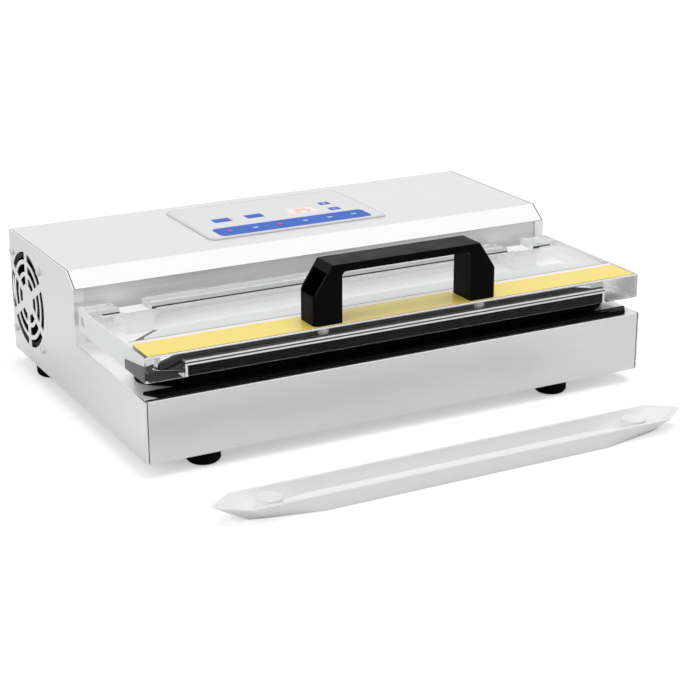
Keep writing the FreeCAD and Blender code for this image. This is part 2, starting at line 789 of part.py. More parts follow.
def cut_fan_grille(body):
    rings = new_sketch(body, "YZ_Plane", "left_x")
    for diameter in ("grille_d1", "grille_d2", "grille_d3", "grille_d4", "grille_d5", "grille_d6"):
        circle(rings, "fan_y", "fan_z", diameter)
    pocket(body, rings, "sheet_thickness", back=True)
    for turn in range(6):
        add_grille_spoke(body, 60 * turn + 30)
    holes = new_sketch(body, "YZ_Plane", "left_x")
    fan_holes(holes, "fan_screw_hole")
    pocket(body, holes, "sheet_thickness", back=True)


def add_grille_spoke(body, angle):
    spoke = new_sketch(body, "YZ_Plane", "left_x")
    spoke.setExpression("AttachmentOffset.Base.x", ref("fan_y"))
    spoke.setExpression("AttachmentOffset.Base.y", ref("fan_z"))
    turned = FreeCAD.Rotation(FreeCAD.Vector(0, 0, 1), angle)
    spoke.AttachmentOffset = FreeCAD.Placement(spoke.AttachmentOffset.Base, turned)
    rectangle(spoke, "spoke_inner", "spoke_outer", "-spoke_half", "spoke_half")
    pad(body, spoke, "sheet_thickness")


def make_front_panel():
    body = new_body("front_panel")
    outline = new_sketch(body, "YZ_Plane")
    polygon(outline, [
        ("front_y", "base_z"), ("front_inner_y", "base_z"), ("front_inner_y", "deck_under"),
        ("return_y", "deck_under"), ("return_y", "deck_z"), ("front_y", "deck_z"),
    ])
    pad(body, outline, "inner_width", both=True)
    edge_y = value("front_y")
    edge_z = value("deck_z")
    soften(body, "Fillet", "bend_radius", lambda edge: runs(edge, "x")
           and abs(centre(edge).y - edge_y) < 0.01 and abs(centre(edge).z - edge_z) < 0.01)


def make_deck():
    body = new_body("deck_panel")
    outline = new_sketch(body, "XY_Plane", "deck_under")
    rectangle(outline, "-inner_half", "inner_half", "deck_front_y", "wall_foot_y")
    pad(body, outline, "sheet_thickness")
    opening = new_sketch(body, "XY_Plane", "deck_under", "chamber_y")
    boat(opening, "trough_length", "trough_shoulder", "trough_width", "trough_nose")
    pocket(body, opening, back=True)


def make_bay_wall():
    body = new_body("bay_wall")
    outline = new_sketch(body, "YZ_Plane")
    polygon(outline, [
        ("wall_front_y", "deck_z"), ("wall_foot_y", "deck_z"), ("wall_foot_y", "wall_foot_z"),
        ("wall_rear_y", "wall_foot_z"), ("wall_rear_y", "wall_top_z"), ("wall_front_y", "wall_top_z"),
    ])
    pad(body, outline, "inner_width", both=True)
    reliefs = new_sketch(body, "XZ_Plane")
    for sign in ("-", ""):
        side = sign + "half_width"
        polygon(reliefs, [(side, "deck_under"), (sign + "relief_x", "deck_under"), (side, "relief_z")])
    pocket(body, reliefs, both=True)


def make_top_cover():
    body = new_body("top_cover")
    outline = new_sketch(body, "YZ_Plane")
    polygon(outline, [
        ("bay_y", "slope_z"), ("slope_inner_y", "slope_z"), ("ridge_inner_y", "top_under"),
        ("cover_inner_y", "top_under"), ("cover_inner_y", "cover_bottom"),
        ("rear_y", "cover_bottom"), ("rear_y", "top_z"), ("ridge_y", "top_z"),
    ])
    pad(body, outline, "inner_width", both=True)
    ridge = value("ridge_y")
    back = value("rear_y")
    top = value("top_z")
    soften(body, "Fillet", "bend_radius", lambda edge: runs(edge, "x")
           and abs(centre(edge).z - top) < 0.01
           and min(abs(centre(edge).y - ridge), abs(centre(edge).y - back)) < 0.01)


def make_rear_panel():
    body = new_body("rear_panel")
    place(body, 0, "rear_panel_y", 0)
    outline = new_sketch(body, "XZ_Plane")
    rectangle(outline, "-inner_half", "inner_half", "base_top", "rear_panel_top")
    pad(body, outline, "sheet_thickness")
    openings = new_sketch(body, "XZ_Plane")
    rectangle(openings, "inlet_hole_left", "inlet_hole_right", "inlet_hole_low", "inlet_hole_high")
    rectangle(openings, "switch_hole_left", "switch_hole_right", "switch_hole_low", "switch_hole_high")
    pocket(body, openings, both=True)


def make_base_plate():
    body = new_body("base_plate")
    outline = new_sketch(body, "XY_Plane", "base_z")
    rectangle(outline, "-inner_half", "inner_half", "base_front_y", "base_rear_y")
    pad(body, outline, "sheet_thickness")
    holes = new_sketch(body, "XY_Plane", "base_z")
    foot_places(holes, circle, "foot_screw_hole")
    pocket(body, holes, back=True)


# Feet

def foot_places(sketch, draw, size):
    """Draw the same outline at each of the feet."""
    draw(sketch, "left_front_foot_x", "front_foot_y", size)
    draw(sketch, "right_front_foot_x", "front_foot_y", size)
    draw(sketch, "-rear_foot_x", "rear_foot_y", size)
    draw(sketch, "rear_foot_x", "rear_foot_y", size)


def make_feet():
    body = new_body("feet")
    discs = new_sketch(body, "XY_Plane")
    foot_places(discs, circle, "foot_diameter")
    pad(body, discs, "foot_height")
    soften(body, "Chamfer", "foot_edge", lambda edge: level_at(edge, 0))
    bores = new_sketch(body, "XY_Plane", "foot_height")
    foot_places(bores, circle, "foot_screw_hole")
    pocket(body, bores, "foot_bore_depth")


def make_foot_screws():
    body = new_body("foot_screws")
    heads = new_sketch(body, "XY_Plane", "base_top")
    foot_places(heads, hexagon, "foot_screw_head")
    pad(body, heads, "foot_screw_head_height")
    shanks = new_sketch(body, "XY_Plane", "base_top")
    foot_places(shanks, circle, "foot_screw_diameter")
    pad(body, shanks, "foot_screw_length", back=True)


# Vacuum chamber

def make_trough():
    body = new_body("vacuum_trough")
    place(body, 0, "chamber_y", "deck_under")
    shell = new_sketch(body, "XY_Plane")
    boat(shell, "trough_outer_length", "trough_outer_shoulder", "trough_outer_width", "trough_outer_nose")
    pad(body, shell, "trough_outer_depth", back=True)
    rim = new_sketch(body, "XY_Plane")
    rectangle(rim, "-trough_rim_length", "trough_rim_length", "-trough_rim_width", "trough_rim_width")
    pad(body, rim, "trough_wall", back=True)
    hollow = new_sketch(body, "XY_Plane")
    boat(hollow, "trough_length", "trough_shoulder", "trough_width", "trough_nose")
    pocket(body, hollow, "trough_depth")


def make_gasket(name, bottom, height, round_height, skirts=False):
    body = new_body(name)
    place(body, 0, "chamber_y", bottom)
    ring = new_sketch(body, "XY_Plane")
    boat(ring, "gasket_outer_length", "gasket_outer_shoulder", "gasket_outer_width", "gasket_outer_nose")
    pad(body, ring, height)
    if skirts:
        add_skirts(body)
    hollow = new_sketch(body, "XY_Plane")
    boat(hollow, "gasket_inner_length", "gasket_inner_shoulder", "gasket_inner_width", "gasket_inner_nose")
    pocket(body, hollow, back=True)
    soften(body, "Chamfer", "gasket_edge", lambda edge: level_at(edge, value(round_height)))


def add_skirts(body):
    """Thin skirts of the lid's gasket, glued under the lid's front corners beside the pressure bar."""
    outline = new_sketch(body, "XY_Plane", "skirt_level")
    rectangle(outline, "-skirt_x2", "-skirt_x1", "skirt_y1", "skirt_y2")
    rectangle(outline, "skirt_x1", "skirt_x2", "skirt_y1", "skirt_y2")
    pad(body, outline, "skirt_thickness")


def make_seal_bar():
    body = new_body("seal_bar")
    outline = new_sketch(body, "XY_Plane", "deck_z")
    polygon(outline, [
        ("-seal_bar_short", "seal_bar_y1"), ("seal_bar_short", "seal_bar_y1"),
        ("seal_bar_half_length", "seal_bar_y2"), ("-seal_bar_half_length", "seal_bar_y2"),
    ])
    pad(body, outline, "seal_bar_height")
    top = value("seal_bar_top")
    soften(body, "Fillet", "bend_radius", lambda edge: level_at(edge, top))


def make_heating_strip():
    body = new_body("heating_strip")
    outline = new_sketch(body, "XY_Plane", "seal_bar_top")
    rectangle(outline, "-heating_strip_half_length", "heating_strip_half_length", "heating_y1", "heating_y2")
    pad(body, outline, "heating_strip_thickness")


# Drip tray

def make_tray():
    body = new_body("drip_tray")
    place(body, "tray_shift", "tray_y", 0)
    keel = new_sketch(body, "XY_Plane")
    hull_outline(keel, "tray_keel_half_length", "tray_keel_nose", "tray_bow_half_length",
                 "tray_bow_half_width", "tray_keel_half_width")
    rim = new_sketch(body, "XY_Plane", "tray_height")
    hull_outline(rim, "tray_nose_x", "tray_nose_width", "tray_shoulder", "tray_half_width",
                 "tray_half_width")
    hull = body.newObject("PartDesign::AdditiveLoft", "drip_tray_hull")
    hull.Profile = keel
    hull.Sections = [rim]
    hull.Ruled = True
    doc.recompute()
    floor = new_sketch(body, "XY_Plane", "tray_floor")
    hull_outline(floor, "tray_floor_length", "tray_floor_nose", "tray_floor_bow",
                 "tray_floor_bow_width", "tray_floor_width")
    mouth = new_sketch(body, "XY_Plane", "tray_height")
    hull_outline(mouth, "tray_inner_nose_x", "tray_inner_nose", "tray_inner_shoulder",
                 "tray_inner_width", "tray_inner_width")
    channel = body.newObject("PartDesign::SubtractiveLoft", "drip_tray_channel")
    channel.Profile = floor
    channel.Sections = [mouth]
    channel.Ruled = True
    doc.recompute()
    knobs = new_sketch(body, "XY_Plane", "tray_floor")
    circle(knobs, "-tray_knob_x", 0, "tray_knob_diameter")
    circle(knobs, "tray_knob_x", 0, "tray_knob_diameter")
    pad(body, knobs, "tray_knob_height")


def hull_outline(sketch, nose, nose_width, bow, bow_width, straight_width):
    """Twelve-sided hull: a blunt nose, a bow corner and the end of the straight side."""
    straight = "tray_keel_straight"
    corners = [(nose, nose_width), (bow, bow_width), (straight, straight_width)]
    left = [("-" + x, y) for x, y in reversed(corners)]
    upper = corners + left
    lower = [(x, "-" + y) for x, y in reversed(upper)]
    polygon(sketch, upper + lower)


# Lid

def make_lid():
    body = new_body("lid")
    slab = new_sketch(body, "XY_Plane", "lid_bottom")
    rectangle(slab, "-lid_half", "lid_half", "lid_front", "lid_rear")
    pad(body, slab, "lid_thickness")
    soften(body, "Fillet", "lid_corner", lambda edge: runs(edge, "z"))
    top = value("lid_top")
    soften(body, "Chamfer", "lid_edge", lambda edge: level_at(edge, top))
    cut_lid_top(body)
    cut_lid_underside(body)
    bore = new_sketch(body, "YZ_Plane")
    circle(bore, "hinge_y", "hinge_z", "lid_bore")
    pocket(body, bore, both=True)


def cut_lid_top(body):
    groove = new_sketch(body, "XY_Plane", "lid_top")
    rectangle(groove, "-groove_half", "groove_half", "groove_y1", "groove_y2")
    pocket(body, groove, "groove_depth")
    notches = new_sketch(body, "XY_Plane", "lid_top")
    rectangle(notches, "notch_inner_x", "notch_outer_x", "notch_y1", "notch_y2")
    rectangle(notches, "-notch_outer_x", "-notch_inner_x", "notch_y1", "notch_y2")
    pocket(body, notches)
    bores = new_sketch(body, "XY_Plane", "lid_top")
    handle_places(bores, circle, "handle_screw_diameter")
    pocket(body, bores, "handle_bore_depth")


def cut_lid_underside(body):
    chamber = new_sketch(body, "XY_Plane", "lid_bottom", "chamber_y")
    boat(chamber, "trough_length", "trough_shoulder", "trough_width", "trough_nose")
    pocket(body, chamber, "lid_pocket_depth", back=True)
    slot = new_sketch(body, "XY_Plane", "lid_bottom")
    rectangle(slot, "-press_bar_half_length", "press_bar_half_length", "press_y1", "press_y2")
    pocket(body, slot, "press_groove_depth", back=True)


def make_pressure_bar():
    body = new_body("pressure_bar")
    outline = new_sketch(body, "XY_Plane", "lid_bottom")
    rectangle(outline, "-press_bar_end", "press_bar_end", "press_bar_y1", "press_bar_y2")
    pad(body, outline, "press_bar_height")


def make_backing():
    """Backing over the pressure bar, turned down over the bar's two ends."""
    body = new_body("pressure_bar_backing")
    strip = new_sketch(body, "XY_Plane", "press_backing_z")
    rectangle(strip, "-press_bar_half", "press_bar_half", "press_bar_y1", "press_bar_y2")
    pad(body, strip, "press_backing_height")
    ends = new_sketch(body, "XY_Plane", "lid_bottom")
    rectangle(ends, "-press_bar_half", "-press_bar_end", "press_bar_y1", "press_bar_y2")
    rectangle(ends, "press_bar_end", "press_bar_half", "press_bar_y1", "press_bar_y2")
    pad(body, ends, "press_bar_height")


def make_yellow_strip():
    body = new_body("front_strip")
    outline = new_sketch(body, "XY_Plane", "lid_top")
    rectangle(outline, "-strip_half", "strip_half", "strip_y1", "strip_y2")
    pad(body, outline, "strip_thickness")
    holes = new_sketch(body, "XY_Plane", "lid_top")
    handle_places(holes, circle, "handle_screw_hole")
    pocket(body, holes, back=True)


# Hinge

def make_hinge_block(name, x1, x2):
    body = new_body(name)
    outline = new_sketch(body, "XY_Plane", "deck_z")
    rectangle(outline, x1, x2, "block_y1", "block_y2")
    pad(body, outline, "block_height")
    top = value("block_top")
    soften(body, "Fillet", "block_round", lambda edge: runs(edge, "x") and level_at(edge, top))
    bore = new_sketch(body, "YZ_Plane")
    circle(bore, "hinge_y", "hinge_z", "lid_bore")
    pocket(body, bore, both=True)


def make_hinge_shaft():
    body = new_body("hinge_shaft")
    outline = new_sketch(body, "YZ_Plane")
    circle(outline, "hinge_y", "hinge_z", "shaft_diameter")
    pad(body, outline, "shaft_length", both=True)


# Handle

def handle_places(sketch, draw, size):
    """Draw the same outline at each of the handle's screws."""
    draw(sketch, "-handle_screw_x", "handle_y", size)
    draw(sketch, "handle_screw_x", "handle_y", size)


def make_handle():
    body = new_body("handle")
    place(body, 0, "handle_y", "handle_z")
    bridge = new_sketch(body, "XZ_Plane")
    polygon(bridge, [
        ("-handle_half", 0), ("-handle_inner", 0), ("-handle_inner", "handle_under"),
        ("handle_inner", "handle_under"), ("handle_inner", 0), ("handle_half", 0),
        ("handle_half", "handle_bevel_rise"), ("handle_top_half", "handle_height"),
        ("-handle_top_half", "handle_height"), ("-handle_half", "handle_bevel_rise"),
    ])
    pad(body, bridge, "handle_depth", both=True)
    outer = value("handle_half")
    soften(body, "Fillet", "handle_round", lambda edge: runs(edge, "z") and beside(edge, outer))
    under = value("handle_under")
    soften(body, "Fillet", "handle_inner_round",
           lambda edge: runs(edge, "y") and abs(centre(edge).z - under) < 0.01)
    cut_handle_wells(body)
    holes = new_sketch(body, "XY_Plane")
    circle(holes, "-handle_screw_x", 0, "handle_screw_hole")
    circle(holes, "handle_screw_x", 0, "handle_screw_hole")
    pocket(body, holes, "handle_seat", back=True)


def cut_handle_wells(body):
    """Hollow each leg from its slanted end, down to the seat of its screw."""
    wells = new_sketch(body, "XZ_Plane")
    for sign in ("-", ""):
        inner = sign + "handle_pocket_inner"
        outer = sign + "handle_pocket_outer"
        half = sign + "handle_half"
        polygon(wells, [
            (inner, "handle_seat"), (outer, "handle_seat"), (outer, "handle_bevel_rise"),
            (half, "handle_bevel_rise"), (half, "handle_under"), (inner, "handle_under"),
        ])
    pocket(body, wells, "handle_pocket_depth", both=True)


def make_handle_screws():
    body = new_body("handle_screws")
    place(body, 0, 0, "handle_screw_z")
    heads = new_sketch(body, "XY_Plane")
    handle_places(heads, circle, "handle_screw_head")
    pad(body, heads, "handle_screw_head_height")
    sockets = new_sketch(body, "XY_Plane", "handle_screw_head_height")
    handle_places(sockets, hexagon, "handle_screw_key")
    pocket(body, sockets, "handle_key_depth")
    shanks = new_sketch(body, "XY_Plane")
    handle_places(shanks, circle, "handle_screw_diameter")
    pad(body, shanks, "handle_screw_length", back=True)


# Control panel

def centred(sketch, x, y, width, depth):
    """Rectangle of the given size about a named point."""
    first = sketch.GeometryCount
    half = FreeCAD.Vector(value(width) / 2, value(depth) / 2, 0)
    middle = FreeCAD.Vector(value(x), value(y), 0)
    signs = [(-1, -1), (1, -1), (1, 1), (-1, 1)]
    corners = [middle + FreeCAD.Vector(i * half.x, j * half.y, 0) for i, j in signs]
    for i in range(4):
        sketch.addGeometry(Part.LineSegment(corners[i], corners[(i + 1) % 4]), False)
    for i in range(4):
        following = first + (i + 1) % 4
        sketch.addConstraint(Sketcher.Constraint("Coincident", first + i, 2, following, 1))
    for i in range(4):
        across = "%s + %d * Sizes.%s / 2" % (ref(x), signs[i][0], width)
        along = "%s + %d * Sizes.%s / 2" % (ref(y), signs[i][1], depth)
        tie(sketch, Sketcher.Constraint("DistanceX", -1, 1, first + i, 1, corners[i].x), across)
        tie(sketch, Sketcher.Constraint("DistanceY", -1, 1, first + i, 1, corners[i].y), along)


def make_panel():
    body = new_body("panel_overlay")
    place(body, 0, "panel_y", "top_z")
    outline = new_sketch(body, "XY_Plane")
    rectangle(outline, "-panel_half", "panel_half", "-panel_half_depth", "panel_half_depth")
    pad(body, outline, "panel_thickness")
    soften(body, "Fillet", "panel_corner", lambda edge: runs(edge, "z"))
    windows = new_sketch(body, "XY_Plane")
    for x, y, width, depth in KEYS.values():
        hole = ("wide_key_hole_width", "wide_key_hole_depth")
        if width == "small_key_width":
            hole = ("small_key_hole_width", "small_key_hole_depth")
        centred(windows, x, y, *hole)
    centred(windows, "display_x", "display_y", "display_width", "display_depth")
    pocket(body, windows, back=True)
    status = new_sketch(body, "XY_Plane", "panel_thickness")
    rectangle(status, "-status_half", "status_half", "status_y1", "status_y2")
    pocket(body, status, "status_thickness")
    soften_status(body)


def soften_status(body):
    half = value("status_half")
    soften(body, "Fillet", "status_corner", lambda edge: runs(edge, "z") and beside(edge, half))


KEYS = {
    "vacuum_key": ("first_key_x", "wide_key_y", "wide_key_width", "wide_key_depth"),
    "seal_key": ("second_key_x", "wide_key_y", "wide_key_width", "wide_key_depth"),
    "plus_key": ("small_key_x", "plus_key_y", "small_key_width", "small_key_depth"),
    "minus_key": ("small_key_x", "minus_key_y", "small_key_width", "small_key_depth"),
}


def make_key(name, x, y, width, depth):
    body = new_body(name)
    place(body, 0, "panel_y", "top_z")
    outline = new_sketch(body, "XY_Plane", "key_z")
    centred(outline, x, y, width, depth)
    pad(body, outline, "key_thickness")


def make_display():
    body = new_body("display_window")
    place(body, 0, "panel_y", "top_z")
    outline = new_sketch(body, "XY_Plane")
    centred(outline, "display_x", "display_y", "display_width", "display_depth")
    pad(body, outline, "panel_thickness")


def make_status_strip():
    body = new_body("status_strip")
    place(body, 0, "panel_y", "top_z")
    outline = new_sketch(body, "XY_Plane", "status_z")
    rectangle(outline, "-status_half", "status_half", "status_y1", "status_y2")
    pad(body, outline, "status_thickness")
    soften_status(body)


def make_status_lights():
    body = new_body("status_lights")
    place(body, 0, "panel_y", "top_z")
    windows = new_sketch(body, "XY_Plane", "panel_thickness")
    for light in ("light_1", "light_2", "light_3"):
        centred(windows, "-" + light, "status_y", "light_width", "light_depth")
        centred(windows, light, "status_y", "light_width", "light_depth")
    pad(body, windows, "light_thickness")


def make_board():
    body = new_body("control_board")
    place(body, 0, "panel_y", "board_z")
    outline = new_sketch(body, "XY_Plane")
    rectangle(outline, "-board_half", "board_half", "-board_half_depth", "board_half_depth")
    pad(body, outline, "board_thickness")


def make_board_posts():
    body = new_body("board_posts")
    place(body, 0, "panel_y", "post_z")
    posts = new_sketch(body, "XY_Plane")
    for x in ("-post_x", "post_x"):
        for y in ("-post_y", "post_y"):
            hexagon(posts, x, y, "post_width")
    pad(body, posts, "board_drop")


# Fan, set in its own frame with X along the axle

def fan_holes(sketch, diameter):
    for side in (-1, 1):
        for rise in (-1, 1):
            fan_hole(sketch, side, rise, diameter)


def fan_hole(sketch, side, rise, diameter):
    y = value("fan_y") + side * value("fan_hole")
    z = value("fan_z") + rise * value("fan_hole")
    round_line = Part.Circle(FreeCAD.Vector(y, z, 0), FreeCAD.Vector(0, 0, 1), value(diameter) / 2)
    index = sketch.addGeometry(round_line, False)
    across = "Sizes.fan_y + %d * Sizes.fan_hole" % side
    upward = "Sizes.fan_z + %d * Sizes.fan_hole" % rise
    tie(sketch, Sketcher.Constraint("DistanceX", -1, 1, index, 3, y), across)
    tie(sketch, Sketcher.Constraint("DistanceY", -1, 1, index, 3, z), upward)
    tie(sketch, Sketcher.Constraint("Diameter", index, value(diameter)), ref(diameter))


def make_fan_frame():
    body = new_body("fan_frame")
    place(body, "fan_x", "fan_y", "fan_z")
    outline = new_sketch(body, "YZ_Plane")
    rectangle(outline, "-fan_half", "fan_half", "-fan_half", "fan_half")
    pad(body, outline, "fan_depth")
    duct = new_sketch(body, "YZ_Plane")
    circle(duct, 0, 0, "fan_bore")
    pocket(body, duct, back=True)
    struts = new_sketch(body, "YZ_Plane", "fan_mount_x")
    rectangle(struts, "-fan_strut_reach", "fan_strut_reach", "-fan_strut_half", "fan_strut_half")
    pad(body, struts, "fan_strut_depth")
    posts = new_sketch(body, "YZ_Plane", "fan_mount_x")
    rectangle(posts, "-fan_strut_half", "fan_strut_half", "-fan_strut_reach", "fan_strut_reach")
    pad(body, posts, "fan_strut_depth")
    mount = new_sketch(body, "YZ_Plane", "fan_mount_x")
    circle(mount, 0, 0, "fan_hub_diameter")
    pad(body, mount, "fan_strut_depth")
    axle = new_sketch(body, "YZ_Plane", "fan_mount_x")
    circle(axle, 0, 0, "fan_axle_diameter")
    pad(body, axle, "fan_axle_length", back=True)
    drill_fan_frame(body)


def drill_fan_frame(body):
    holes = new_sketch(body, "YZ_Plane")
    for y in ("-fan_hole", "fan_hole"):
        for z in ("-fan_hole", "fan_hole"):
            circle(holes, y, z, "fan_screw_hole")
    pocket(body, holes, back=True)


def make_fan_rotor():
    hub = doc.addObject("Part::Cylinder", "fan_hub")
    hub.setExpression("Radius", "Sizes.fan_hub_diameter / 2")
    hub.setExpression("Height", "Sizes.fan_hub_depth")
    blades = [make_blade(turn) for turn in range(7)]
    wheel = doc.addObject("Part::MultiFuse", "fan_wheel")
    wheel.Shapes = [hub] + blades
    bore = doc.addObject("Part::Cylinder", "fan_rotor_bore_tool")
    bore.setExpression("Radius", "Sizes.fan_rotor_bore / 2")
    bore.setExpression("Height", "Sizes.fan_hub_depth - Sizes.fan_hub_wall")
    bore.setExpression("Placement.Base.z", "Sizes.fan_hub_wall")
    rotor = doc.addObject("Part::Cut", "fan_rotor")
    rotor.Base = wheel
    rotor.Tool = bore
    rotor.Label = "fan_rotor"
    rotor.Placement.Rotation = FreeCAD.Rotation(FreeCAD.Vector(0, 1, 0), 90)
    rotor.setExpression("Placement.Base.x", "Sizes.fan_x + Sizes.fan_front_gap")
    rotor.setExpression("Placement.Base.y", ref("fan_y"))
    rotor.setExpression("Placement.Base.z", ref("fan_z"))
    finished.append(rotor)


def make_blade(turn):
    """One pitched blade, reaching out from inside the hub."""
    blade = doc.addObject("Part::Box", "fan_blade")
    blade.setExpression("Length", ref("fan_blade_length"))
    blade.setExpression("Width", ref("fan_blade_thickness"))
    blade.setExpression("Height", ref("fan_blade_chord"))
    angle = 360 * turn / 7
    around = FreeCAD.Rotation(FreeCAD.Vector(0, 0, 1), angle)
    pitch = FreeCAD.Rotation(FreeCAD.Vector(1, 0, 0), 38)
    blade.Placement.Rotation = around.multiply(pitch)
    inner = "Sizes.fan_blade_root"
    swing = "Sizes.fan_blade_chord / 2 * sin(38)"
    drop = "Sizes.fan_blade_chord / 2 * cos(38)"
    x = math.cos(math.radians(angle))
    y = math.sin(math.radians(angle))
    blade.setExpression("Placement.Base.x", "%s * %.6f - %s * %.6f" % (inner, x, swing, y))
    blade.setExpression("Placement.Base.y", "%s * %.6f + %s * %.6f" % (inner, y, swing, x))
    blade.setExpression("Placement.Base.z", "Sizes.fan_hub_depth / 2 - " + drop)
    return blade


def make_fan_screws():
    body = new_body("fan_screws")
    heads = new_sketch(body, "YZ_Plane", "left_x")
    fan_holes(heads, "fan_screw_head")
    pad(body, heads, "fan_screw_head_height", back=True)
    shanks = new_sketch(body, "YZ_Plane", "left_x")
    fan_holes(shanks, "fan_screw_diameter")
    pad(body, shanks, "fan_screw_length")


# Pump, valve, hose and transformer

def make_pump():
    body = new_body("pump_head")
    place(body, "pump_x", "pump_y", "pump_z")
    outline = new_sketch(body, "XY_Plane")
    rectangle(outline, "-pump_half", "pump_half", 0, "pump_rear")
    pad(body, outline, "pump_head_height")
    soften(body, "Fillet", "panel_corner", lambda edge: runs(edge, "y"))


def make_pump_motor():
    body = new_body("pump_motor")
    place(body, "pump_x", "pump_y", "pump_z")
    can = new_sketch(body, "YZ_Plane", "pump_half")
    circle(can, "motor_y", "motor_z", "motor_diameter")
    pad(body, can, "motor_length")


def make_pump_mounts():
    body = new_body("pump_mounts")
    place(body, "pump_x", "pump_y", "base_top")
    discs = new_sketch(body, "XY_Plane")
    for x in ("-pump_mount_x", "pump_mount_x"):
        for y in ("pump_mount_inset", "pump_mount_y"):
            hexagon(discs, x, y, "pump_mount_width")
    pad(body, discs, "pump_mount_height")


def make_valve():
    body = new_body("release_valve")
    place(body, "pump_x", "pump_y", "pump_top")
    block = new_sketch(body, "XY_Plane")
    rectangle(block, "-valve_half", "valve_half", "valve_y1", "valve_y2")
    pad(body, block, "valve_height")
    coil = new_sketch(body, "XY_Plane", "valve_height")
    circle(coil, 0, "valve_y", "valve_coil_diameter")
    pad(body, coil, "valve_coil_height")


def make_hose():
    body = new_body("vacuum_hose")
    place(body, "pump_x", "pump_y", "hose_z")
    ring = new_sketch(body, "XZ_Plane")
    circle(ring, 0, 0, "hose_diameter")
    circle(ring, 0, 0, "hose_bore")
    pad(body, ring, "hose_length")


def make_transformer():
    core = new_body("transformer_core")
    place(core, "transformer_x", "transformer_y", "base_top")
    block = new_sketch(core, "XZ_Plane")
    rectangle(block, "-core_half", "core_half", 0, "core_top")
    rectangle(block, "-window_half", "window_half", "core_leg", "window_top")
    pad(core, block, "core_depth", both=True)
    coil = new_body("transformer_coil")
    place(coil, "transformer_x", "transformer_y", "base_top")
    winding = new_sketch(coil, "XY_Plane", "core_leg")
    rectangle(winding, "-coil_half", "coil_half", "-coil_half_depth", "coil_half_depth")
    pad(coil, winding, "coil_height")
    soften(coil, "Fillet", "panel_corner", lambda edge: runs(edge, "z"))


# Rear panel fittings, each in a frame on the panel's outer face

def make_inlet():
    body = new_body("power_inlet")
    place(body, "inlet_x", "rear_panel_y", "inlet_place_z")
    flange = new_sketch(body, "XZ_Plane")
    rectangle(flange, "-inlet_half", "inlet_half", "-inlet_half_height", "inlet_half_height")
    pad(body, flange, "inlet_flange", back=True)
    soften(body, "Fillet", "inlet_corner", lambda edge: runs(edge, "y"))
    shell = new_sketch(body, "XZ_Plane")
    rectangle(shell, "-inlet_body_half", "inlet_body_half",
              "-inlet_body_half_height", "inlet_body_half_height")
    pad(body, shell, "inlet_depth")
    mouth = new_sketch(body, "XZ_Plane", "-inlet_flange")
    polygon(mouth, [
        ("-socket_half", "-socket_half_height"), ("socket_half", "-socket_half_height"),
        ("socket_half", "socket_side_top"), ("socket_top_half", "socket_half_height"),
        ("-socket_top_half", "socket_half_height"), ("-socket_half", "socket_side_top"),
    ])
    pocket(body, mouth, "socket_depth", back=True)


def make_inlet_pins():
    body = new_body("inlet_pins")
    place(body, "inlet_x", "rear_panel_y", "inlet_place_z")
    pins = new_sketch(body, "XZ_Plane", "pin_level")
    rectangle(pins, "-pin_right", "-pin_left", "pin_row_low", "pin_row_high")
    rectangle(pins, "pin_left", "pin_right", "pin_row_low", "pin_row_high")
    rectangle(pins, "-pin_half", "pin_half", "earth_low", "earth_high")
    pad(body, pins, "pin_length")


def make_switch():
    body = new_body("switch_frame")
    place(body, "switch_x", "rear_panel_y", "inlet_place_z")
    flange = new_sketch(body, "XZ_Plane")
    rectangle(flange, "-switch_half", "switch_half", "-switch_half_height", "switch_half_height")
    pad(body, flange, "switch_flange", back=True)
    soften(body, "Fillet", "switch_corner", lambda edge: runs(edge, "y"))
    shell = new_sketch(body, "XZ_Plane")
    rectangle(shell, "-switch_body_half", "switch_body_half",
              "-switch_body_half_height", "switch_body_half_height")
    pad(body, shell, "switch_depth")
    well = new_sketch(body, "XZ_Plane", "-switch_flange")
    rectangle(well, "-switch_pocket_half", "switch_pocket_half", "-switch_pocket_half_height",
              "switch_pocket_half_height")
    pocket(body, well, "switch_total", back=True)
    pin_line = new_sketch(body, "YZ_Plane")
    circle(pin_line, "pivot_y", 0, "rocker_pin_diameter")
    pad(body, pin_line, "rocker_pin_length", both=True)


def make_rocker():
    body = new_body("power_rocker")
    place(body, "switch_x", "rocker_place_y", "inlet_place_z")
    profile = new_sketch(body, "YZ_Plane")
    polygon(profile, [
        ("-rocker_root", "-rocker_low_half"), ("rocker_tip", "-rocker_half_height"), ("rocker_middle", 0),
        ("rocker_tip", "rocker_half_height"), ("-rocker_root", "rocker_low_half"),
    ])
    pad(body, profile, "rocker_width", both=True)
    bore = new_sketch(body, "YZ_Plane")
    circle(bore, 0, 0, "rocker_bore")
    pocket(body, bore, both=True)
    turned = FreeCAD.Rotation(FreeCAD.Vector(1, 0, 0), -value("rocker_tilt"))
    body.Placement = FreeCAD.Placement(body.Placement.Base, turned)


def make_housing():
    left = make_side_panel("left_side_panel", "left_x", "left_x")
    cut_fan_grille(left)
    make_side_panel("right_side_panel", "right_x", "right_flange_x")
    make_front_panel()
    make_deck()
    make_bay_wall()
    make_top_cover()
    make_rear_panel()
    make_base_plate()
    make_feet()
    make_foot_screws()


def make_chamber():
    make_trough()
    make_gasket("lower_gasket", "deck_z", "lower_gasket_height", "lower_gasket_height")
    make_seal_bar()
    make_heating_strip()
    make_tray()


def make_lid_group():
    make_lid()
    make_gasket("lid_gasket", "lid_gasket_z", "lid_gasket_height", 0, skirts=True)
    make_pressure_bar()
    make_backing()
    make_yellow_strip()
    make_hinge_block("hinge_block_left", "-block_outer_x", "-block_inner_x")
    make_hinge_block("hinge_block_right", "block_inner_x", "block_outer_x")
    make_hinge_shaft()
    make_handle()
    make_handle_screws()


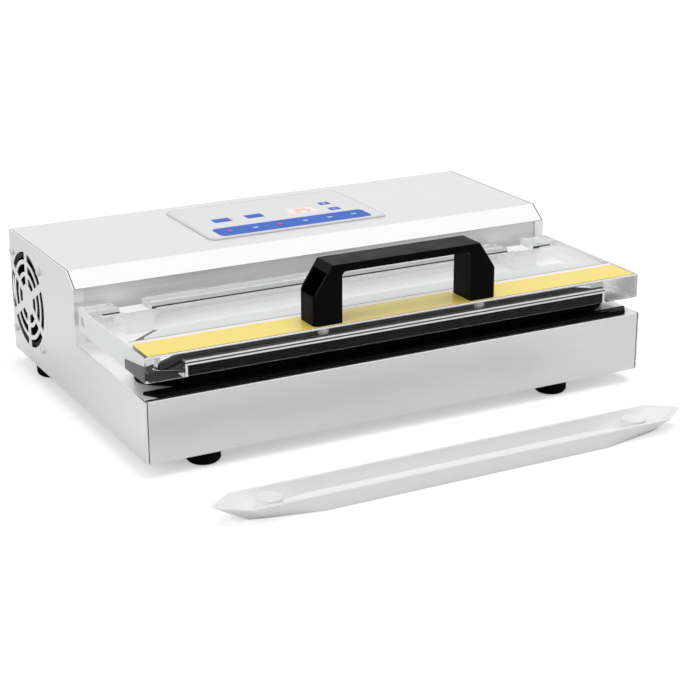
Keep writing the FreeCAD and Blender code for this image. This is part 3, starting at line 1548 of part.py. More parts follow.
def make_controls():
    make_panel()
    for name, key in KEYS.items():
        make_key(name, *key)
    make_display()
    make_status_strip()
    make_status_lights()
    make_board()
    make_board_posts()


def make_inside():
    make_fan_frame()
    make_fan_rotor()
    make_fan_screws()
    make_pump()
    make_pump_motor()
    make_pump_mounts()
    make_valve()
    make_hose()
    make_transformer()


def make_rear_fittings():
    make_inlet()
    make_inlet_pins()
    make_switch()
    make_rocker()


def check_and_write():
    doc.recompute()
    for item in doc.Objects:
        if "Invalid" in item.State or "Error" in item.State:
            raise ValueError(item.Label + " is not valid: " + str(item.State))
    os.makedirs("parts", exist_ok=True)
    for item in finished:
        if item.Shape.isNull() or not item.Shape.isValid():
            raise ValueError(item.Label + " has no valid shape")
        item.Shape.exportStep(os.path.join("parts", item.Label + ".step"))


fill_sheet()
make_housing()
make_chamber()
make_lid_group()
make_controls()
make_inside()
make_rear_fittings()
check_and_write()
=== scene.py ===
import json
import math

import bmesh
import bpy
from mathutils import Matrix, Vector


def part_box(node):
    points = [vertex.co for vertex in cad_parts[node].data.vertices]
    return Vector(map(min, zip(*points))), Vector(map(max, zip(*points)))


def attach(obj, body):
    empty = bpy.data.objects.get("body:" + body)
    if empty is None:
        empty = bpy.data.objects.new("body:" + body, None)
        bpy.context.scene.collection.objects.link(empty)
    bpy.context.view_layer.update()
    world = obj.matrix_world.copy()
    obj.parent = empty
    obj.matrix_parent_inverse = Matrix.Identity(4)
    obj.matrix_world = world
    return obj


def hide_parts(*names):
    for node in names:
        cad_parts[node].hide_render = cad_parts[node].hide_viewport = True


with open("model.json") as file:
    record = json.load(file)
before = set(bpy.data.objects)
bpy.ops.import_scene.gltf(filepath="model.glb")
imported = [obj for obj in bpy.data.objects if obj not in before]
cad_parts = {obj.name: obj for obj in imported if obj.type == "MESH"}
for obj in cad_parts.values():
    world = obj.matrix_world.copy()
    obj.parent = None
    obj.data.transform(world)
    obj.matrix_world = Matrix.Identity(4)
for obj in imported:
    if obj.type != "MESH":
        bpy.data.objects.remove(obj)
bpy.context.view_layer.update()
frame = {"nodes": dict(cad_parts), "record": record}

MM = 0.001
WHITE = (1.0, 1.0, 1.0, 1.0)
nodes = frame["nodes"]
record = frame["record"]
slot_of = {part["node"]: part["material_slot"] for part in record["subparts"]}
body_of = {node: body
           for body, names in record["behaviour"]["bodies"].items()
           for node in names}


# Tones

SCREEN_TOP = 255


def tone(red, green, blue):
    """Linear colour from screen values of 0 to 255, by the sRGB curve."""
    def linear(level):
        share = level / SCREEN_TOP
        if share <= 0.04045:
            return share / 12.92
        return ((share + 0.055) / 1.055) ** 2.4
    return (linear(red), linear(green), linear(blue), 1.0)


def grey(level):
    return tone(level, level, level)


# Material helpers: sizes of grain and depths of relief are in millimetres

NOISE_LOW = 0.3
NOISE_HIGH = 0.7
FINE_DETAIL = 4.0
HAIR_DETAIL = 3.0
BROAD_DETAIL = 2.0


def new_material(name, settings=None):
    """Principled material; the settings are its constant inputs."""
    material = bpy.data.materials.new(name)
    material.use_nodes = True
    shader = material.node_tree.nodes["Principled BSDF"]
    for socket, setting in (settings or {}).items():
        shader.inputs[socket].default_value = setting
    return material


def link(material, output, socket):
    shader = material.node_tree.nodes["Principled BSDF"]
    material.node_tree.links.new(output, shader.inputs[socket])


def combine(tree, operation, first, second):
    """Math node over two outputs."""
    node = tree.nodes.new("ShaderNodeMath")
    node.operation = operation
    tree.links.new(first, node.inputs[0])
    tree.links.new(second, node.inputs[1])
    return node.outputs["Value"]


def even(size):
    return (size, size, size)


def texture(material, kind, grain):
    """Texture over the object's own place; grain is its size along each axis."""
    tree = material.node_tree
    place = tree.nodes.new("ShaderNodeTexCoord")
    mapping = tree.nodes.new("ShaderNodeMapping")
    mapping.inputs["Scale"].default_value = [1 / (size * MM) for size in grain]
    node = tree.nodes.new(kind)
    node.inputs["Scale"].default_value = 1.0
    tree.links.new(place.outputs["Object"], mapping.inputs["Vector"])
    tree.links.new(mapping.outputs["Vector"], node.inputs["Vector"])
    return node


def noise(material, grain, detail=FINE_DETAIL):
    node = texture(material, "ShaderNodeTexNoise", grain)
    node.inputs["Detail"].default_value = detail
    return node.outputs["Fac"]


def rescale(material, factor, low, high, start=NOISE_LOW, end=NOISE_HIGH):
    """The factor's range from start to end becomes the range from low to high."""
    node = material.node_tree.nodes.new("ShaderNodeMapRange")
    settings = {"From Min": start, "From Max": end, "To Min": low, "To Max": high}
    for socket, setting in settings.items():
        node.inputs[socket].default_value = setting
    material.node_tree.links.new(factor, node.inputs["Value"])
    return node.outputs["Result"]


def place_along(material, axis, low, high):
    """0 to 1 along an axis of the object, between two places in millimetres."""
    tree = material.node_tree
    place = tree.nodes.new("ShaderNodeTexCoord")
    split = tree.nodes.new("ShaderNodeSeparateXYZ")
    tree.links.new(place.outputs["Object"], split.inputs["Vector"])
    return rescale(material, split.outputs[axis], 0.0, 1.0, low * MM, high * MM)


def paint(material, factor, stops, interpolation="LINEAR"):
    """Colour that follows the factor through stops of (place, colour)."""
    node = material.node_tree.nodes.new("ShaderNodeValToRGB")
    ramp = node.color_ramp
    ramp.interpolation = interpolation
    while len(ramp.elements) < len(stops):
        ramp.elements.new(0.5)
    for element, (place, colour) in zip(ramp.elements, stops):
        element.position = place
        element.color = colour
    material.node_tree.links.new(factor, node.inputs["Fac"])
    link(material, node.outputs["Color"], "Base Color")


def roughen(material, factor, rough):
    """Roughness that follows the factor between two values."""
    low, high = rough
    link(material, rescale(material, factor, low, high), "Roughness")


def relief(material, factor, depth):
    """Bump that follows the factor."""
    node = material.node_tree.nodes.new("ShaderNodeBump")
    node.inputs["Distance"].default_value = depth * MM
    material.node_tree.links.new(factor, node.inputs["Height"])
    link(material, node.outputs["Normal"], "Normal")


def fine_grain(material, grain, rough, depth=None):
    """Fine grain in the gloss, and in relief where a depth is given."""
    fine = noise(material, even(grain))
    roughen(material, fine, rough)
    if depth is not None:
        relief(material, fine, depth)


def line_stops(start, end, blur, line, ground):
    """Stops of one line on a plain ground; blur is the width of its soft edges."""
    return [(start, ground), (start + blur, line), (end - blur, line), (end, ground)]


# Plastics, rubber and films

CLOUD_RATIO = 30


def moulded(name, dark, light, rough, grain, depth, settings=None):
    """Moulded or coated surface: fine grain in colour and relief, with broad cloudy gloss."""
    material = new_material(name, settings)
    fine = noise(material, even(grain))
    broad = noise(material, even(grain * CLOUD_RATIO), BROAD_DETAIL)
    paint(material, fine, [(NOISE_LOW, dark), (NOISE_HIGH, light)])
    roughen(material, broad, rough)
    relief(material, fine, depth)
    return material


DULL = {"Specular IOR Level": 0.05}
MATT = {"Specular Tint": (0.65, 0.65, 0.65, 1.0), **DULL}
MILKY = {"Subsurface Weight": 0.08, "Subsurface Radius": even(0.004)}
FULL_METAL = {"Metallic": 1.0}
PART_METAL = {"Metallic": 0.6}

# Dark and light tone, range of roughness, grain, depth of relief, settings
MOULDED = {
    "dark_rubber": (grey(2), grey(7), (0.5, 0.7), 0.9, 0.04, MATT),
    "black_silicone": (grey(2), grey(5), (0.6, 0.75), 1.0, 0.004, MATT),
    "white_nylon": (grey(246), grey(252), (0.35, 0.5), 0.7, 0.01, MILKY),
    "black_plastic": (grey(1), grey(4), (0.34, 0.48), 0.6, 0.03, DULL),
    "panel_film": (grey(222), grey(230), (0.35, 0.45), 0.5, 0.01),
    "blue_film": (tone(44, 92, 192), tone(56, 108, 208), (0.3, 0.42), 0.6, 0.01, MATT),
    "display_film": (tone(248, 240, 230), tone(253, 247, 238), (0.1, 0.2), 0.6, 0.004),
    "board_green": (tone(12, 78, 40), tone(22, 98, 54), (0.3, 0.5), 1.5, 0.03),
    "pump_alloy": (grey(150), grey(182), (0.4, 0.6), 0.8, 0.08, FULL_METAL),
    "hose_silicone": (grey(190), grey(214), (0.35, 0.5), 1.0, 0.02),
    "core_iron": (grey(56), grey(84), (0.5, 0.7), 0.8, 0.05, PART_METAL),
    "white_plastic": (grey(240), grey(248), (0.3, 0.45), 0.8, 0.01, MILKY),
}
FILM_BACK = (grey(150), grey(168), (0.5, 0.6), 0.8, 0.01)
INSERT_PALE = (grey(248), grey(254), (0.4, 0.5), 0.6, 0.02)
PALE_INK = (grey(228), grey(240), (0.4, 0.5), 0.5, 0.004)
GREY_INK = (grey(178), grey(190), (0.4, 0.5), 0.5, 0.004)
DIGIT_RED = (tone(240, 104, 66), tone(246, 122, 80), (0.3, 0.4), 0.5, 0.004)


# Metals

HAIR_LENGTH = 60.0
HAIR_WIDTH = 0.45
HAIR_DEPTH = 0.001
METAL_CLOUD = 70.0


def brushed(name, along, dark, light, rough, metal=1.0):
    """Brushed metal whose lines run along one axis, with faint broad clouding."""
    material = new_material(name, {"Metallic": metal})
    hair = [HAIR_LENGTH if axis == along else HAIR_WIDTH for axis in "XYZ"]
    hairs = noise(material, hair, HAIR_DETAIL)
    clouds = noise(material, even(METAL_CLOUD), BROAD_DETAIL)
    paint(material, hairs, [(NOISE_LOW, dark), (NOISE_HIGH, light)])
    roughen(material, clouds, rough)
    relief(material, hairs, HAIR_DEPTH)
    return material


SHEET_ROUGH = (0.29, 0.36)
SATIN_ROUGH = (0.3, 0.42)

# Axis of the lines, dark and light tone, range of roughness, share of metal where it isn't whole
BRUSHED = {
    "screw_steel": ("Z", grey(216), grey(240), (0.2, 0.35)),
    "shaft_steel": ("X", grey(190), grey(220), (0.15, 0.28)),
    "brass_post": ("Z", tone(176, 140, 70), tone(205, 168, 92), (0.25, 0.4)),
    "motor_can": ("X", grey(160), grey(190), (0.25, 0.4)),
    "coil_wire": ("Y", tone(140, 66, 30), tone(190, 98, 50), (0.3, 0.45)),
    "pin_metal": ("Y", grey(196), grey(222), (0.15, 0.3)),
}
STEEL_LENGTHWISE = ("X", grey(227), grey(233), SHEET_ROUGH)
# Side panels: real crosswise lines, and a tone paler than the lengthwise steel that is painted light
STEEL_CROSSWISE_PAINTED_LIGHT = ("Y", grey(245), grey(251), SHEET_ROUGH)
# Painted highlight: a paler copy of the steel for the top cover's sloped faces
STEEL_SLOPE_HIGHLIGHT = ("X", grey(250), grey(254), SHEET_ROUGH)
# Painted light: a half-metal copy of the steel for the bay wall, which shows lighter under the lamps
STEEL_SATIN_PAINTED_LIGHT = ("X", grey(226), grey(238), SATIN_ROUGH, 0.5)
# Painted light: a near-white, hardly metallic copy of the steel for the deck and trough under the lid
STEEL_PALE_PAINTED_LIGHT = ("X", grey(249), grey(254), SATIN_ROUGH, 0.1)


# Foam and woven tape

PORE_SIZE = 0.9
PORE_DEPTH = 0.12
PORE_ROUGH = (0.95, 0.8)
THREAD_PITCH = 3.0
THREAD_DEPTH = 0.04
THREAD_ROUGH = (0.6, 0.4)


def foam(name, dark, light):
    """Closed foam with fine pores."""
    material = new_material(name, DULL)
    pores = texture(material, "ShaderNodeTexVoronoi", even(PORE_SIZE)).outputs["Distance"]
    paint(material, pores, [(0.1, dark), (0.8, light)])
    roughen(material, pores, PORE_ROUGH)
    relief(material, pores, PORE_DEPTH)
    return material


def woven_tape():
    """Black coated glass cloth: two crossing sets of threads."""
    material = new_material("woven_tape", DULL)
    threads = []
    for axis in "XY":
        wave = texture(material, "ShaderNodeTexWave", even(THREAD_PITCH))
        wave.bands_direction = axis
        threads.append(wave.outputs["Fac"])
    weave = combine(material.node_tree, "MAXIMUM", *threads)
    paint(material, weave, [(0.2, grey(3)), (0.9, grey(10))])
    roughen(material, weave, THREAD_ROUGH)
    relief(material, weave, THREAD_DEPTH)
    return material


# Clear plastic of the lid

CLEAR = tone(252, 253, 253)
ACRYLIC_IOR = 1.49
HAZE_SIZE = 35.0
POLISHED = (0.0, 0.03)
FROSTED = (0.3, 0.45)
MILLED = (0.35, 0.5)
GROUND = (0.4, 0.5)
FULL_SHINE = 1.0
CUT_SHINE = 0.3
FAINT_SHINE = 0.15
# Painted shade: size and slope of the dark wedge on the lid's left end
WEDGE_LENGTH = 40
WEDGE_END = 0.5
WEDGE_SLOPE = 0.28

# Clearness, range of roughness, share of reflection
LID_BODY = (1.0, POLISHED, FAINT_SHINE)
LID_TOP = (1.0, POLISHED, FULL_SHINE)
LID_END = (0.2, GROUND, FAINT_SHINE)
FRONT_EDGE = (0.1, GROUND, FAINT_SHINE)
LID_CUT = (0.4, MILLED, CUT_SHINE)
GROOVE_WALL = (0.3, MILLED, CUT_SHINE)
POCKET_ROOF = (0.5, FROSTED, FAINT_SHINE)


def clear_plastic(name, clearness, rough, shine):
    """Acrylic, clear or ground, with very faint haze; shine is the share of its reflection."""
    settings = {"Base Color": CLEAR, "IOR": ACRYLIC_IOR, "Transmission Weight": clearness,
                "Specular Tint": (shine, shine, shine, 1.0)}
    material = new_material(name, settings)
    haze = noise(material, even(HAZE_SIZE), BROAD_DETAIL)
    roughen(material, haze, rough)
    return material


def ground_corner_painted_shade(low, high):
    """Ground left end of the lid, with a painted shade: a dark wedge low at its front, standing in for
    the foam bonded behind it as seen through the acrylic.
    """
    material = clear_plastic("ground_corner_painted_shade", *LID_END)
    tree = material.node_tree
    front = low.y / MM
    rear = front + WEDGE_LENGTH
    depth = place_along(material, "Y", front, rear)
    height = place_along(material, "Z", low.z / MM, high.z / MM)
    behind = place_along(material, "Y", rear, rear + WEDGE_END)
    slope = tree.nodes.new("ShaderNodeMath")
    slope.operation = "MULTIPLY_ADD"
    slope.inputs[1].default_value = WEDGE_SLOPE
    tree.links.new(depth, slope.inputs[0])
    tree.links.new(height, slope.inputs[2])
    outside = combine(tree, "MAXIMUM", slope.outputs["Value"], behind)
    # Painted shade: dark grey in the wedge, clear acrylic elsewhere
    paint(material, outside, [(0.67, grey(118)), (0.69, CLEAR)])
    return material


def groove_wall_painted_shadow(low, high):
    """Rear wall of the lid's groove: pale from the cutter, with a painted shadow line along it."""
    material = clear_plastic("groove_wall_painted_shadow", *GROOVE_WALL)
    height = place_along(material, "Z", low.z / MM, high.z / MM)
    # Painted shadow: the dark grey line stands in for shade in the groove
    paint(material, height, line_stops(start=0.78, end=0.90, blur=0.02, line=grey(40), ground=CLEAR))
    return material


# Printed and bonded strips

def adhesive():
    """Tape on top of the lid's gasket: dark, and pale at its right end."""
    material = new_material("adhesive", DULL)
    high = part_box("lid_gasket")[1]
    along = place_along(material, "X", 0, high.x / MM)
    paint(material, along, [(0.88, grey(62)), (0.90, grey(225))])
    fine_grain(material, grain=0.8, rough=(0.5, 0.65), depth=0.02)
    return material


def yellow_film():
    """Printed film: a yellow band, then a pale margin with a thin grey line along its rear edge."""
    material = new_material("yellow_film", {"Coat Weight": 0.3, "Coat Roughness": 0.15})
    low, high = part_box("front_strip")
    across = place_along(material, "Y", low.y / MM, high.y / MM)
    yellow = tone(249, 223, 98)
    margin = tone(242, 239, 234)
    paint(material, across, [(0.80, yellow), (0.84, margin), (0.95, margin), (0.97, grey(140))])
    fine_grain(material, grain=0.7, rough=(0.35, 0.45), depth=0.01)
    return material


def backing():
    """White backing whose strip over the bar carries one thin dark line."""
    material = new_material("bar_backing")
    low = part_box("pressure_bar")[1]
    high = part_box("pressure_bar_backing")[1]
    height = place_along(material, "Z", low.z / MM, high.z / MM)
    paint(material, height, line_stops(start=0.34, end=0.65, blur=0.03, line=grey(8), ground=grey(252)))
    fine_grain(material, grain=0.8, rough=(0.4, 0.55))
    return material


def status_lights():
    """Six small lamps in one row; the first and the third are lit."""
    material = new_material("status_lights")
    low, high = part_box("status_lights")
    along = place_along(material, "X", low.x / MM, high.x / MM)
    lit = tone(232, 40, 44)
    unlit = tone(196, 206, 232)
    paint(material, along, [(0.0, lit), (0.1, unlit), (0.3, lit), (0.5, unlit)], "CONSTANT")
    fine_grain(material, grain=0.6, rough=(0.25, 0.4))
    return material


# Materials of the nodes

def slot_materials():
    made = {slot: moulded(slot, *look) for slot, look in MOULDED.items()}
    for slot, look in BRUSHED.items():
        made[slot] = brushed(slot, *look)
    made["stainless"] = brushed("steel_lengthwise", *STEEL_LENGTHWISE)
    made["black_foam"] = foam("closed_foam", grey(3), grey(10))
    made["seal_tape"] = woven_tape()
    made["clear_acrylic"] = clear_plastic("clear_acrylic", *LID_BODY)
    made["yellow_film"] = yellow_film()
    made["red_light"] = status_lights()
    return made


def paint_nodes():
    by_slot = slot_materials()
    crosswise_painted_light = brushed("steel_crosswise_painted_light", *STEEL_CROSSWISE_PAINTED_LIGHT)
    pale_painted_light = brushed("steel_pale_painted_light", *STEEL_PALE_PAINTED_LIGHT)
    by_name = {
        # Side panels: crosswise brushing, with a paler tone that is painted light
        "left_side_panel": crosswise_painted_light,
        "right_side_panel": crosswise_painted_light,
        # Painted light: deck and trough get the near-white copy of the steel
        "deck_panel": pale_painted_light,
        "vacuum_trough": pale_painted_light,
        # Painted light: the bay wall gets the half-metal copy of the steel
        "bay_wall": brushed("steel_satin_painted_light", *STEEL_SATIN_PAINTED_LIGHT),
        "pressure_bar_backing": backing(),
    }
    for name, node in nodes.items():
        node.data.materials.clear()
        node.data.materials.append(by_name.get(name, by_slot[slot_of[name]]))


paint_nodes()


# Edges: copies of the nodes with rounded edges stand for them, with radii in millimetres

EDGE_RADII = {
    "base_plate": 0.3, "left_side_panel": 0.35, "right_side_panel": 0.35, "front_panel": 0.35,
    "deck_panel": 0.3, "bay_wall": 0.3, "top_cover": 0.35, "rear_panel": 0.35,
    "feet": 0.9, "lower_gasket": 0.9, "seal_bar": 0.5, "drip_tray": 0.8,
    "lid": 0.6, "hinge_block_left": 0.7, "hinge_block_right": 0.7, "handle": 1.0, "fan_screws": 0.5,
    "panel_overlay": 0.2, "vacuum_key": 0.12, "seal_key": 0.12, "plus_key": 0.12, "minus_key": 0.12,
    "display_window": 0.15, "switch_frame": 0.4, "power_rocker": 0.4, "power_inlet": 0.4,
    "pressure_bar": 0.2,
}
EDGE_STEPS = 2
ROUND_PROFILE = 0.5
SHARP = math.radians(28)
FLAT = math.radians(0.5)
WELD = 0.002 * MM
NEAR = 0.01 * MM
SEAMS = ("front_panel", "top_cover", "bay_wall")
SEAM_GAP = 0.5 * MM
GLUE = 0.05 * MM


def new_piece(name, work, material, body):
    """Puts a finished bmesh into the scene as a piece on a body."""
    mesh = bpy.data.meshes.new(name)
    work.to_mesh(mesh)
    work.free()
    mesh.materials.append(material)
    piece = bpy.data.objects.new(name, mesh)
    bpy.context.scene.collection.objects.link(piece)
    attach(piece, body)
    return piece


def node_mesh(name):
    """Copy of a node's mesh with its flat faces joined up."""
    work = bmesh.new()
    work.from_mesh(nodes[name].data)
    for layer in list(work.loops.layers.float_vector.values()):
        work.loops.layers.float_vector.remove(layer)
    bmesh.ops.transform(work, matrix=nodes[name].matrix_world, verts=work.verts)
    bmesh.ops.remove_doubles(work, verts=work.verts, dist=WELD)
    bmesh.ops.dissolve_limit(work, angle_limit=FLAT, verts=work.verts, edges=work.edges)
    return work


def is_sharp(edge):
    return edge.is_manifold and edge.calc_face_angle() > SHARP


def shade(work):
    """Smooth faces that break at the sharp edges."""
    for face in work.faces:
        face.smooth = True
    for edge in work.edges:
        edge.smooth = not is_sharp(edge)


def stand_in(name, work):
    """The worked mesh stands for its node."""
    shade(work)
    material = nodes[name].data.materials[0]
    piece = new_piece(name + "_finish", work, material, body_of[name])
    piece.modifiers.new("even_normals", "WEIGHTED_NORMAL").keep_sharp = True
    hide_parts(name)
    return piece


def open_seams(work, gap):
    """The sheet's two ends draw back, so that a dark line shows at its joint with the side panels."""
    end = max(vertex.co.x for vertex in work.verts)
    for vertex in work.verts:
        if abs(vertex.co.x) > end - NEAR:
            vertex.co.x -= math.copysign(gap, vertex.co.x)


def round_edges(name, radius):
    work = node_mesh(name)
    if name in SEAMS:
        open_seams(work, SEAM_GAP)
    edges = [edge for edge in work.edges if is_sharp(edge)]
    bmesh.ops.bevel(work, geom=edges, offset=radius * MM, offset_type="OFFSET", segments=EDGE_STEPS,
                    profile=ROUND_PROFILE, affect="EDGES", clamp_overlap=True)
    return stand_in(name, work)


def bond(name, height, depth):
    """The node's face at that height is pressed into the acrylic, as glue presses it there."""
    work = node_mesh(name)
    for vertex in work.verts:
        if abs(vertex.co.z - height) < NEAR:
            vertex.co.z += depth
    return stand_in(name, work)


finished = {name: round_edges(name, radius) for name, radius in EDGE_RADII.items()}


# Faces with a look of their own

LID_EDGE = 0.7 * MM
LID_SKIN = 0.05 * MM
LID_CUT_DEPTH = 40 * MM
RUN_SETBACK = 20 * MM
POCKET_FRONT = -135 * MM
POCKET_REAR = -90 * MM
lid_low, lid_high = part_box("lid")
lid_middle = (lid_low + lid_high) / 2

# Least share of a face's normal along an axis
FACING = 0.9
RUN_FACING = 0.5
SLOPE_FACING = 0.4
END_FACING = 0.3
EDGE_FACING = 0.2


def give_faces(piece, material, wanted):
    """The faces that are wanted get a material of their own."""
    piece.data.materials.append(material)
    for face in piece.data.polygons:
        if wanted(face):
            face.material_index = len(piece.data.materials) - 1


def looks_up(face):
    return face.normal.z > FACING


def looks_down(face):
    return face.normal.z < -FACING


def sloped(face):
    return face.normal.y < -SLOPE_FACING and face.normal.z > SLOPE_FACING


def lid_end(face):
    """Either end of the lid with its rounded edges."""
    x = face.center.x
    return abs(face.normal.x) > END_FACING and min(x - lid_low.x, lid_high.x - x) < LID_EDGE


def left_end(face):
    return lid_end(face) and face.center.x < 0


def front_edge(face):
    """Rounded edge between the lid's front and its top."""
    between = face.normal.y < -EDGE_FACING and face.normal.z > EDGE_FACING
    return between and face.center.y < lid_low.y + LID_EDGE


def lid_top(face):
    return looks_up(face) and face.center.z > lid_high.z - LID_SKIN


def lid_cut(face):
    """Faces left by the cutter in the rear groove and the hinge notches."""
    x, y, z = face.center
    inside = abs(x) < lid_high.x - LID_EDGE and lid_low.z + LID_EDGE < z < lid_high.z - LID_EDGE
    return inside and lid_high.y - LID_CUT_DEPTH < y < lid_high.y - LID_EDGE


def groove_rear(face):
    return lid_cut(face) and face.normal.y < -FACING and face.center.z > lid_middle.z


def pocket_roof(face):
    """Roof of the pocket over the chamber."""
    inside = POCKET_FRONT < face.center.y < POCKET_REAR
    return inside and looks_down(face) and face.center.z > lid_low.z + LID_EDGE


def inner_rear(face):
    """Front-facing wall of a gasket's rear run, which gets painted light: a paler grey foam."""
    return face.normal.y < -RUN_FACING and face.center.y > lid_middle.y - RUN_SETBACK


def dress_lid(lid):
    """The lid lets light through to the deck, and its worked faces are paler than its clear ones."""
    lid.visible_shadow = False
    lid.visible_diffuse = False
    give_faces(lid, clear_plastic("lid_top", *LID_TOP), lid_top)
    give_faces(lid, clear_plastic("lid_end", *LID_END), lid_end)
    give_faces(lid, clear_plastic("lid_edge", *FRONT_EDGE), front_edge)
    # Painted shade on the left end: a dark wedge low at its front
    give_faces(lid, ground_corner_painted_shade(lid_low, lid_high), left_end)
    give_faces(lid, clear_plastic("lid_cut", *LID_CUT), lid_cut)
    # Painted shadow: a dark line along the groove's rear wall
    give_faces(lid, groove_wall_painted_shadow(lid_low, lid_high), groove_rear)
    give_faces(lid, clear_plastic("pocket_roof", *POCKET_ROOF), pocket_roof)


def dress_gaskets():
    upper = bond("lid_gasket", lid_low.z, GLUE)
    give_faces(upper, adhesive(), looks_up)
    for gasket in (upper, finished["lower_gasket"]):
        # Painted light: the front-facing walls of the gaskets' rear runs get a paler grey foam than the
        # black foam, as if lit
        give_faces(gasket, foam(gasket.name + "_painted_light_foam", grey(74), grey(92)), inner_rear)


# Painted highlight: the top cover's sloped faces get a paler copy of its steel
give_faces(finished["top_cover"], brushed("steel_slope_painted_highlight", *STEEL_SLOPE_HIGHLIGHT), sloped)
dress_lid(finished["lid"])
dress_gaskets()
give_faces(bond("front_strip", lid_high.z, -GLUE), moulded("film_back", *FILM_BACK), looks_down)


# Inserts in the lid for the handle's screws

INSERT_SIDES = 24

# Radius, and height from the lid's top, in millimetres
INSERT_PROFILE = [
    (0.0, -10.2), (3.3, -10.2), (3.9, -9.6), (3.9, -8.3), (4.7, -7.5), (4.7, -0.2),
    (3.1, -0.2), (3.1, -8.25), (0.0, -8.25),
]


def turned_ring(work, centre, radius, height):
    """Ring of points about an upright axis; one point where the radius is nought."""
    if radius == 0:
        return [work.verts.new((centre.x, centre.y, centre.z + height * MM))]
    ring = []
    for i in range(INSERT_SIDES):
        angle = 2 * math.pi * i / INSERT_SIDES
        outward = Vector((math.cos(angle), math.sin(angle), 0)) * radius * MM
        ring.append(work.verts.new(centre + outward + Vector((0, 0, height * MM))))
    return ring


def add_turned(work, profile, centre):
    """Turned solid about an upright axis; the profile's first and last points lie on the axis."""
    rings = [turned_ring(work, centre, radius, height) for radius, height in profile]
    for lower, upper in zip(rings, rings[1:]):
        for i in range(INSERT_SIDES):
            after = (i + 1) % INSERT_SIDES
            corners = [lower[i % len(lower)], lower[after % len(lower)],
                       upper[after % len(upper)], upper[i % len(upper)]]
            work.faces.new(list(dict.fromkeys(corners)))


def add_inserts():
    low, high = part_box("handle_screws")
    middle = (low.y + high.y) / 2
    reach = high.x - (high.y - low.y) / 2
    work = bmesh.new()
    for side in (-1, 1):
        add_turned(work, INSERT_PROFILE, Vector((side * reach, middle, lid_high.z)))
    shade(work)
    new_piece("handle_inserts", work, moulded("insert_pale", *INSERT_PALE), body_of["lid"])


add_inserts()


# Marks on the control panel

MARK = 0.06 * MM
READING = (2, 5)
DIGIT_PLACES = (-0.5, 0.5)
DIGIT_HEIGHT = 10 * MM
DIGIT_WIDTH = 5.4 * MM
DIGIT_STROKE = 1.3 * MM
DIGIT_PITCH = 8.4 * MM
SEGMENT_GAP = 0.2 * MM
SIGN_ARM = 2.6 * MM
SIGN_HALF = 0.45 * MM
BORDER_INSET = 1.6 * MM
BORDER_WIDTH = 0.5 * MM
BORDER_CUT = 4 * MM

# Places of a digit's bars, in half widths across and half heights along
SEGMENTS = {
    "top": (0, 1), "middle": (0, 0), "bottom": (0, -1),
    "upper_left": (-1, 0.5), "upper_right": (1, 0.5),
    "lower_left": (-1, -0.5), "lower_right": (1, -0.5),
}
DIGITS = {
    2: ("top", "upper_right", "middle", "lower_left", "bottom"),
    5: ("top", "upper_left", "middle", "lower_right", "bottom"),
}


def add_prism(work, outline, low, high):
    """Upright prism over an outline of (x, y) points, listed anticlockwise."""
    below = [work.verts.new((x, y, low)) for x, y in outline]
    above = [work.verts.new((x, y, high)) for x, y in outline]
    work.faces.new(list(reversed(below)))
    work.faces.new(above)
    count = len(outline)
    for i in range(count):
        after = (i + 1) % count
        work.faces.new((below[i], below[after], above[after], above[i]))


def bar_outline(x, y, length, width, upright):
    """Bar with pointed ends, lying along X or standing along Y."""
    half, side = length / 2, width / 2
    points = [(-half, 0), (-half + side, -side), (half - side, -side), (half, 0),
              (half - side, side), (-half + side, side)]
    if upright:
        points = [(-v, u) for u, v in points]
    return [(x + u, y + v) for u, v in points]


def top_middle(name):
    low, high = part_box(name)
    return (low.x + high.x) / 2, (low.y + high.y) / 2, high.z


def add_digits():
    """Two-figure reading in seven-bar digits."""
    x, y, top = top_middle("display_window")
    work = bmesh.new()
    for place, digit in zip(DIGIT_PLACES, READING):
        middle = x + place * DIGIT_PITCH
        for name in DIGITS[digit]:
            across, along = SEGMENTS[name]
            upright = across != 0
            length = DIGIT_HEIGHT / 2 if upright else DIGIT_WIDTH
            outline = bar_outline(middle + across * DIGIT_WIDTH / 2, y + along * DIGIT_HEIGHT / 2,
                                  length - SEGMENT_GAP, DIGIT_STROKE, upright)
            add_prism(work, outline, top - MARK, top + MARK)
    new_piece("display_digits", work, moulded("digit_red", *DIGIT_RED), "housing")


def sign_outline(upright):
    """Outline of a plus sign where it has an upright bar, or else of a minus sign."""
    arm, half = SIGN_ARM, SIGN_HALF
    if not upright:
        return [(-arm, -half), (arm, -half), (arm, half), (-arm, half)]
    return [(-half, -arm), (half, -arm), (half, -half), (arm, -half), (arm, half), (half, half),
            (half, arm), (-half, arm), (-half, half), (-arm, half), (-arm, -half), (-half, -half)]


def add_sign(node, name, upright, ink):
    """Plus or minus sign on a key."""
    x, y, top = top_middle(node)
    outline = [(x + u, y + v) for u, v in sign_outline(upright)]
    work = bmesh.new()
    add_prism(work, outline, top - MARK, top + MARK)
    new_piece(name, work, ink, body_of[node])


def cut_rectangle(low, high, inset):
    """Rectangle inside a plate's edge, with cut corners."""
    left, right = low.x + inset, high.x - inset
    front, rear = low.y + inset, high.y - inset
    cut = BORDER_CUT
    return [(left + cut, front), (right - cut, front), (right, front + cut), (right, rear - cut),
            (right - cut, rear), (left + cut, rear), (left, rear - cut), (left, front + cut)]


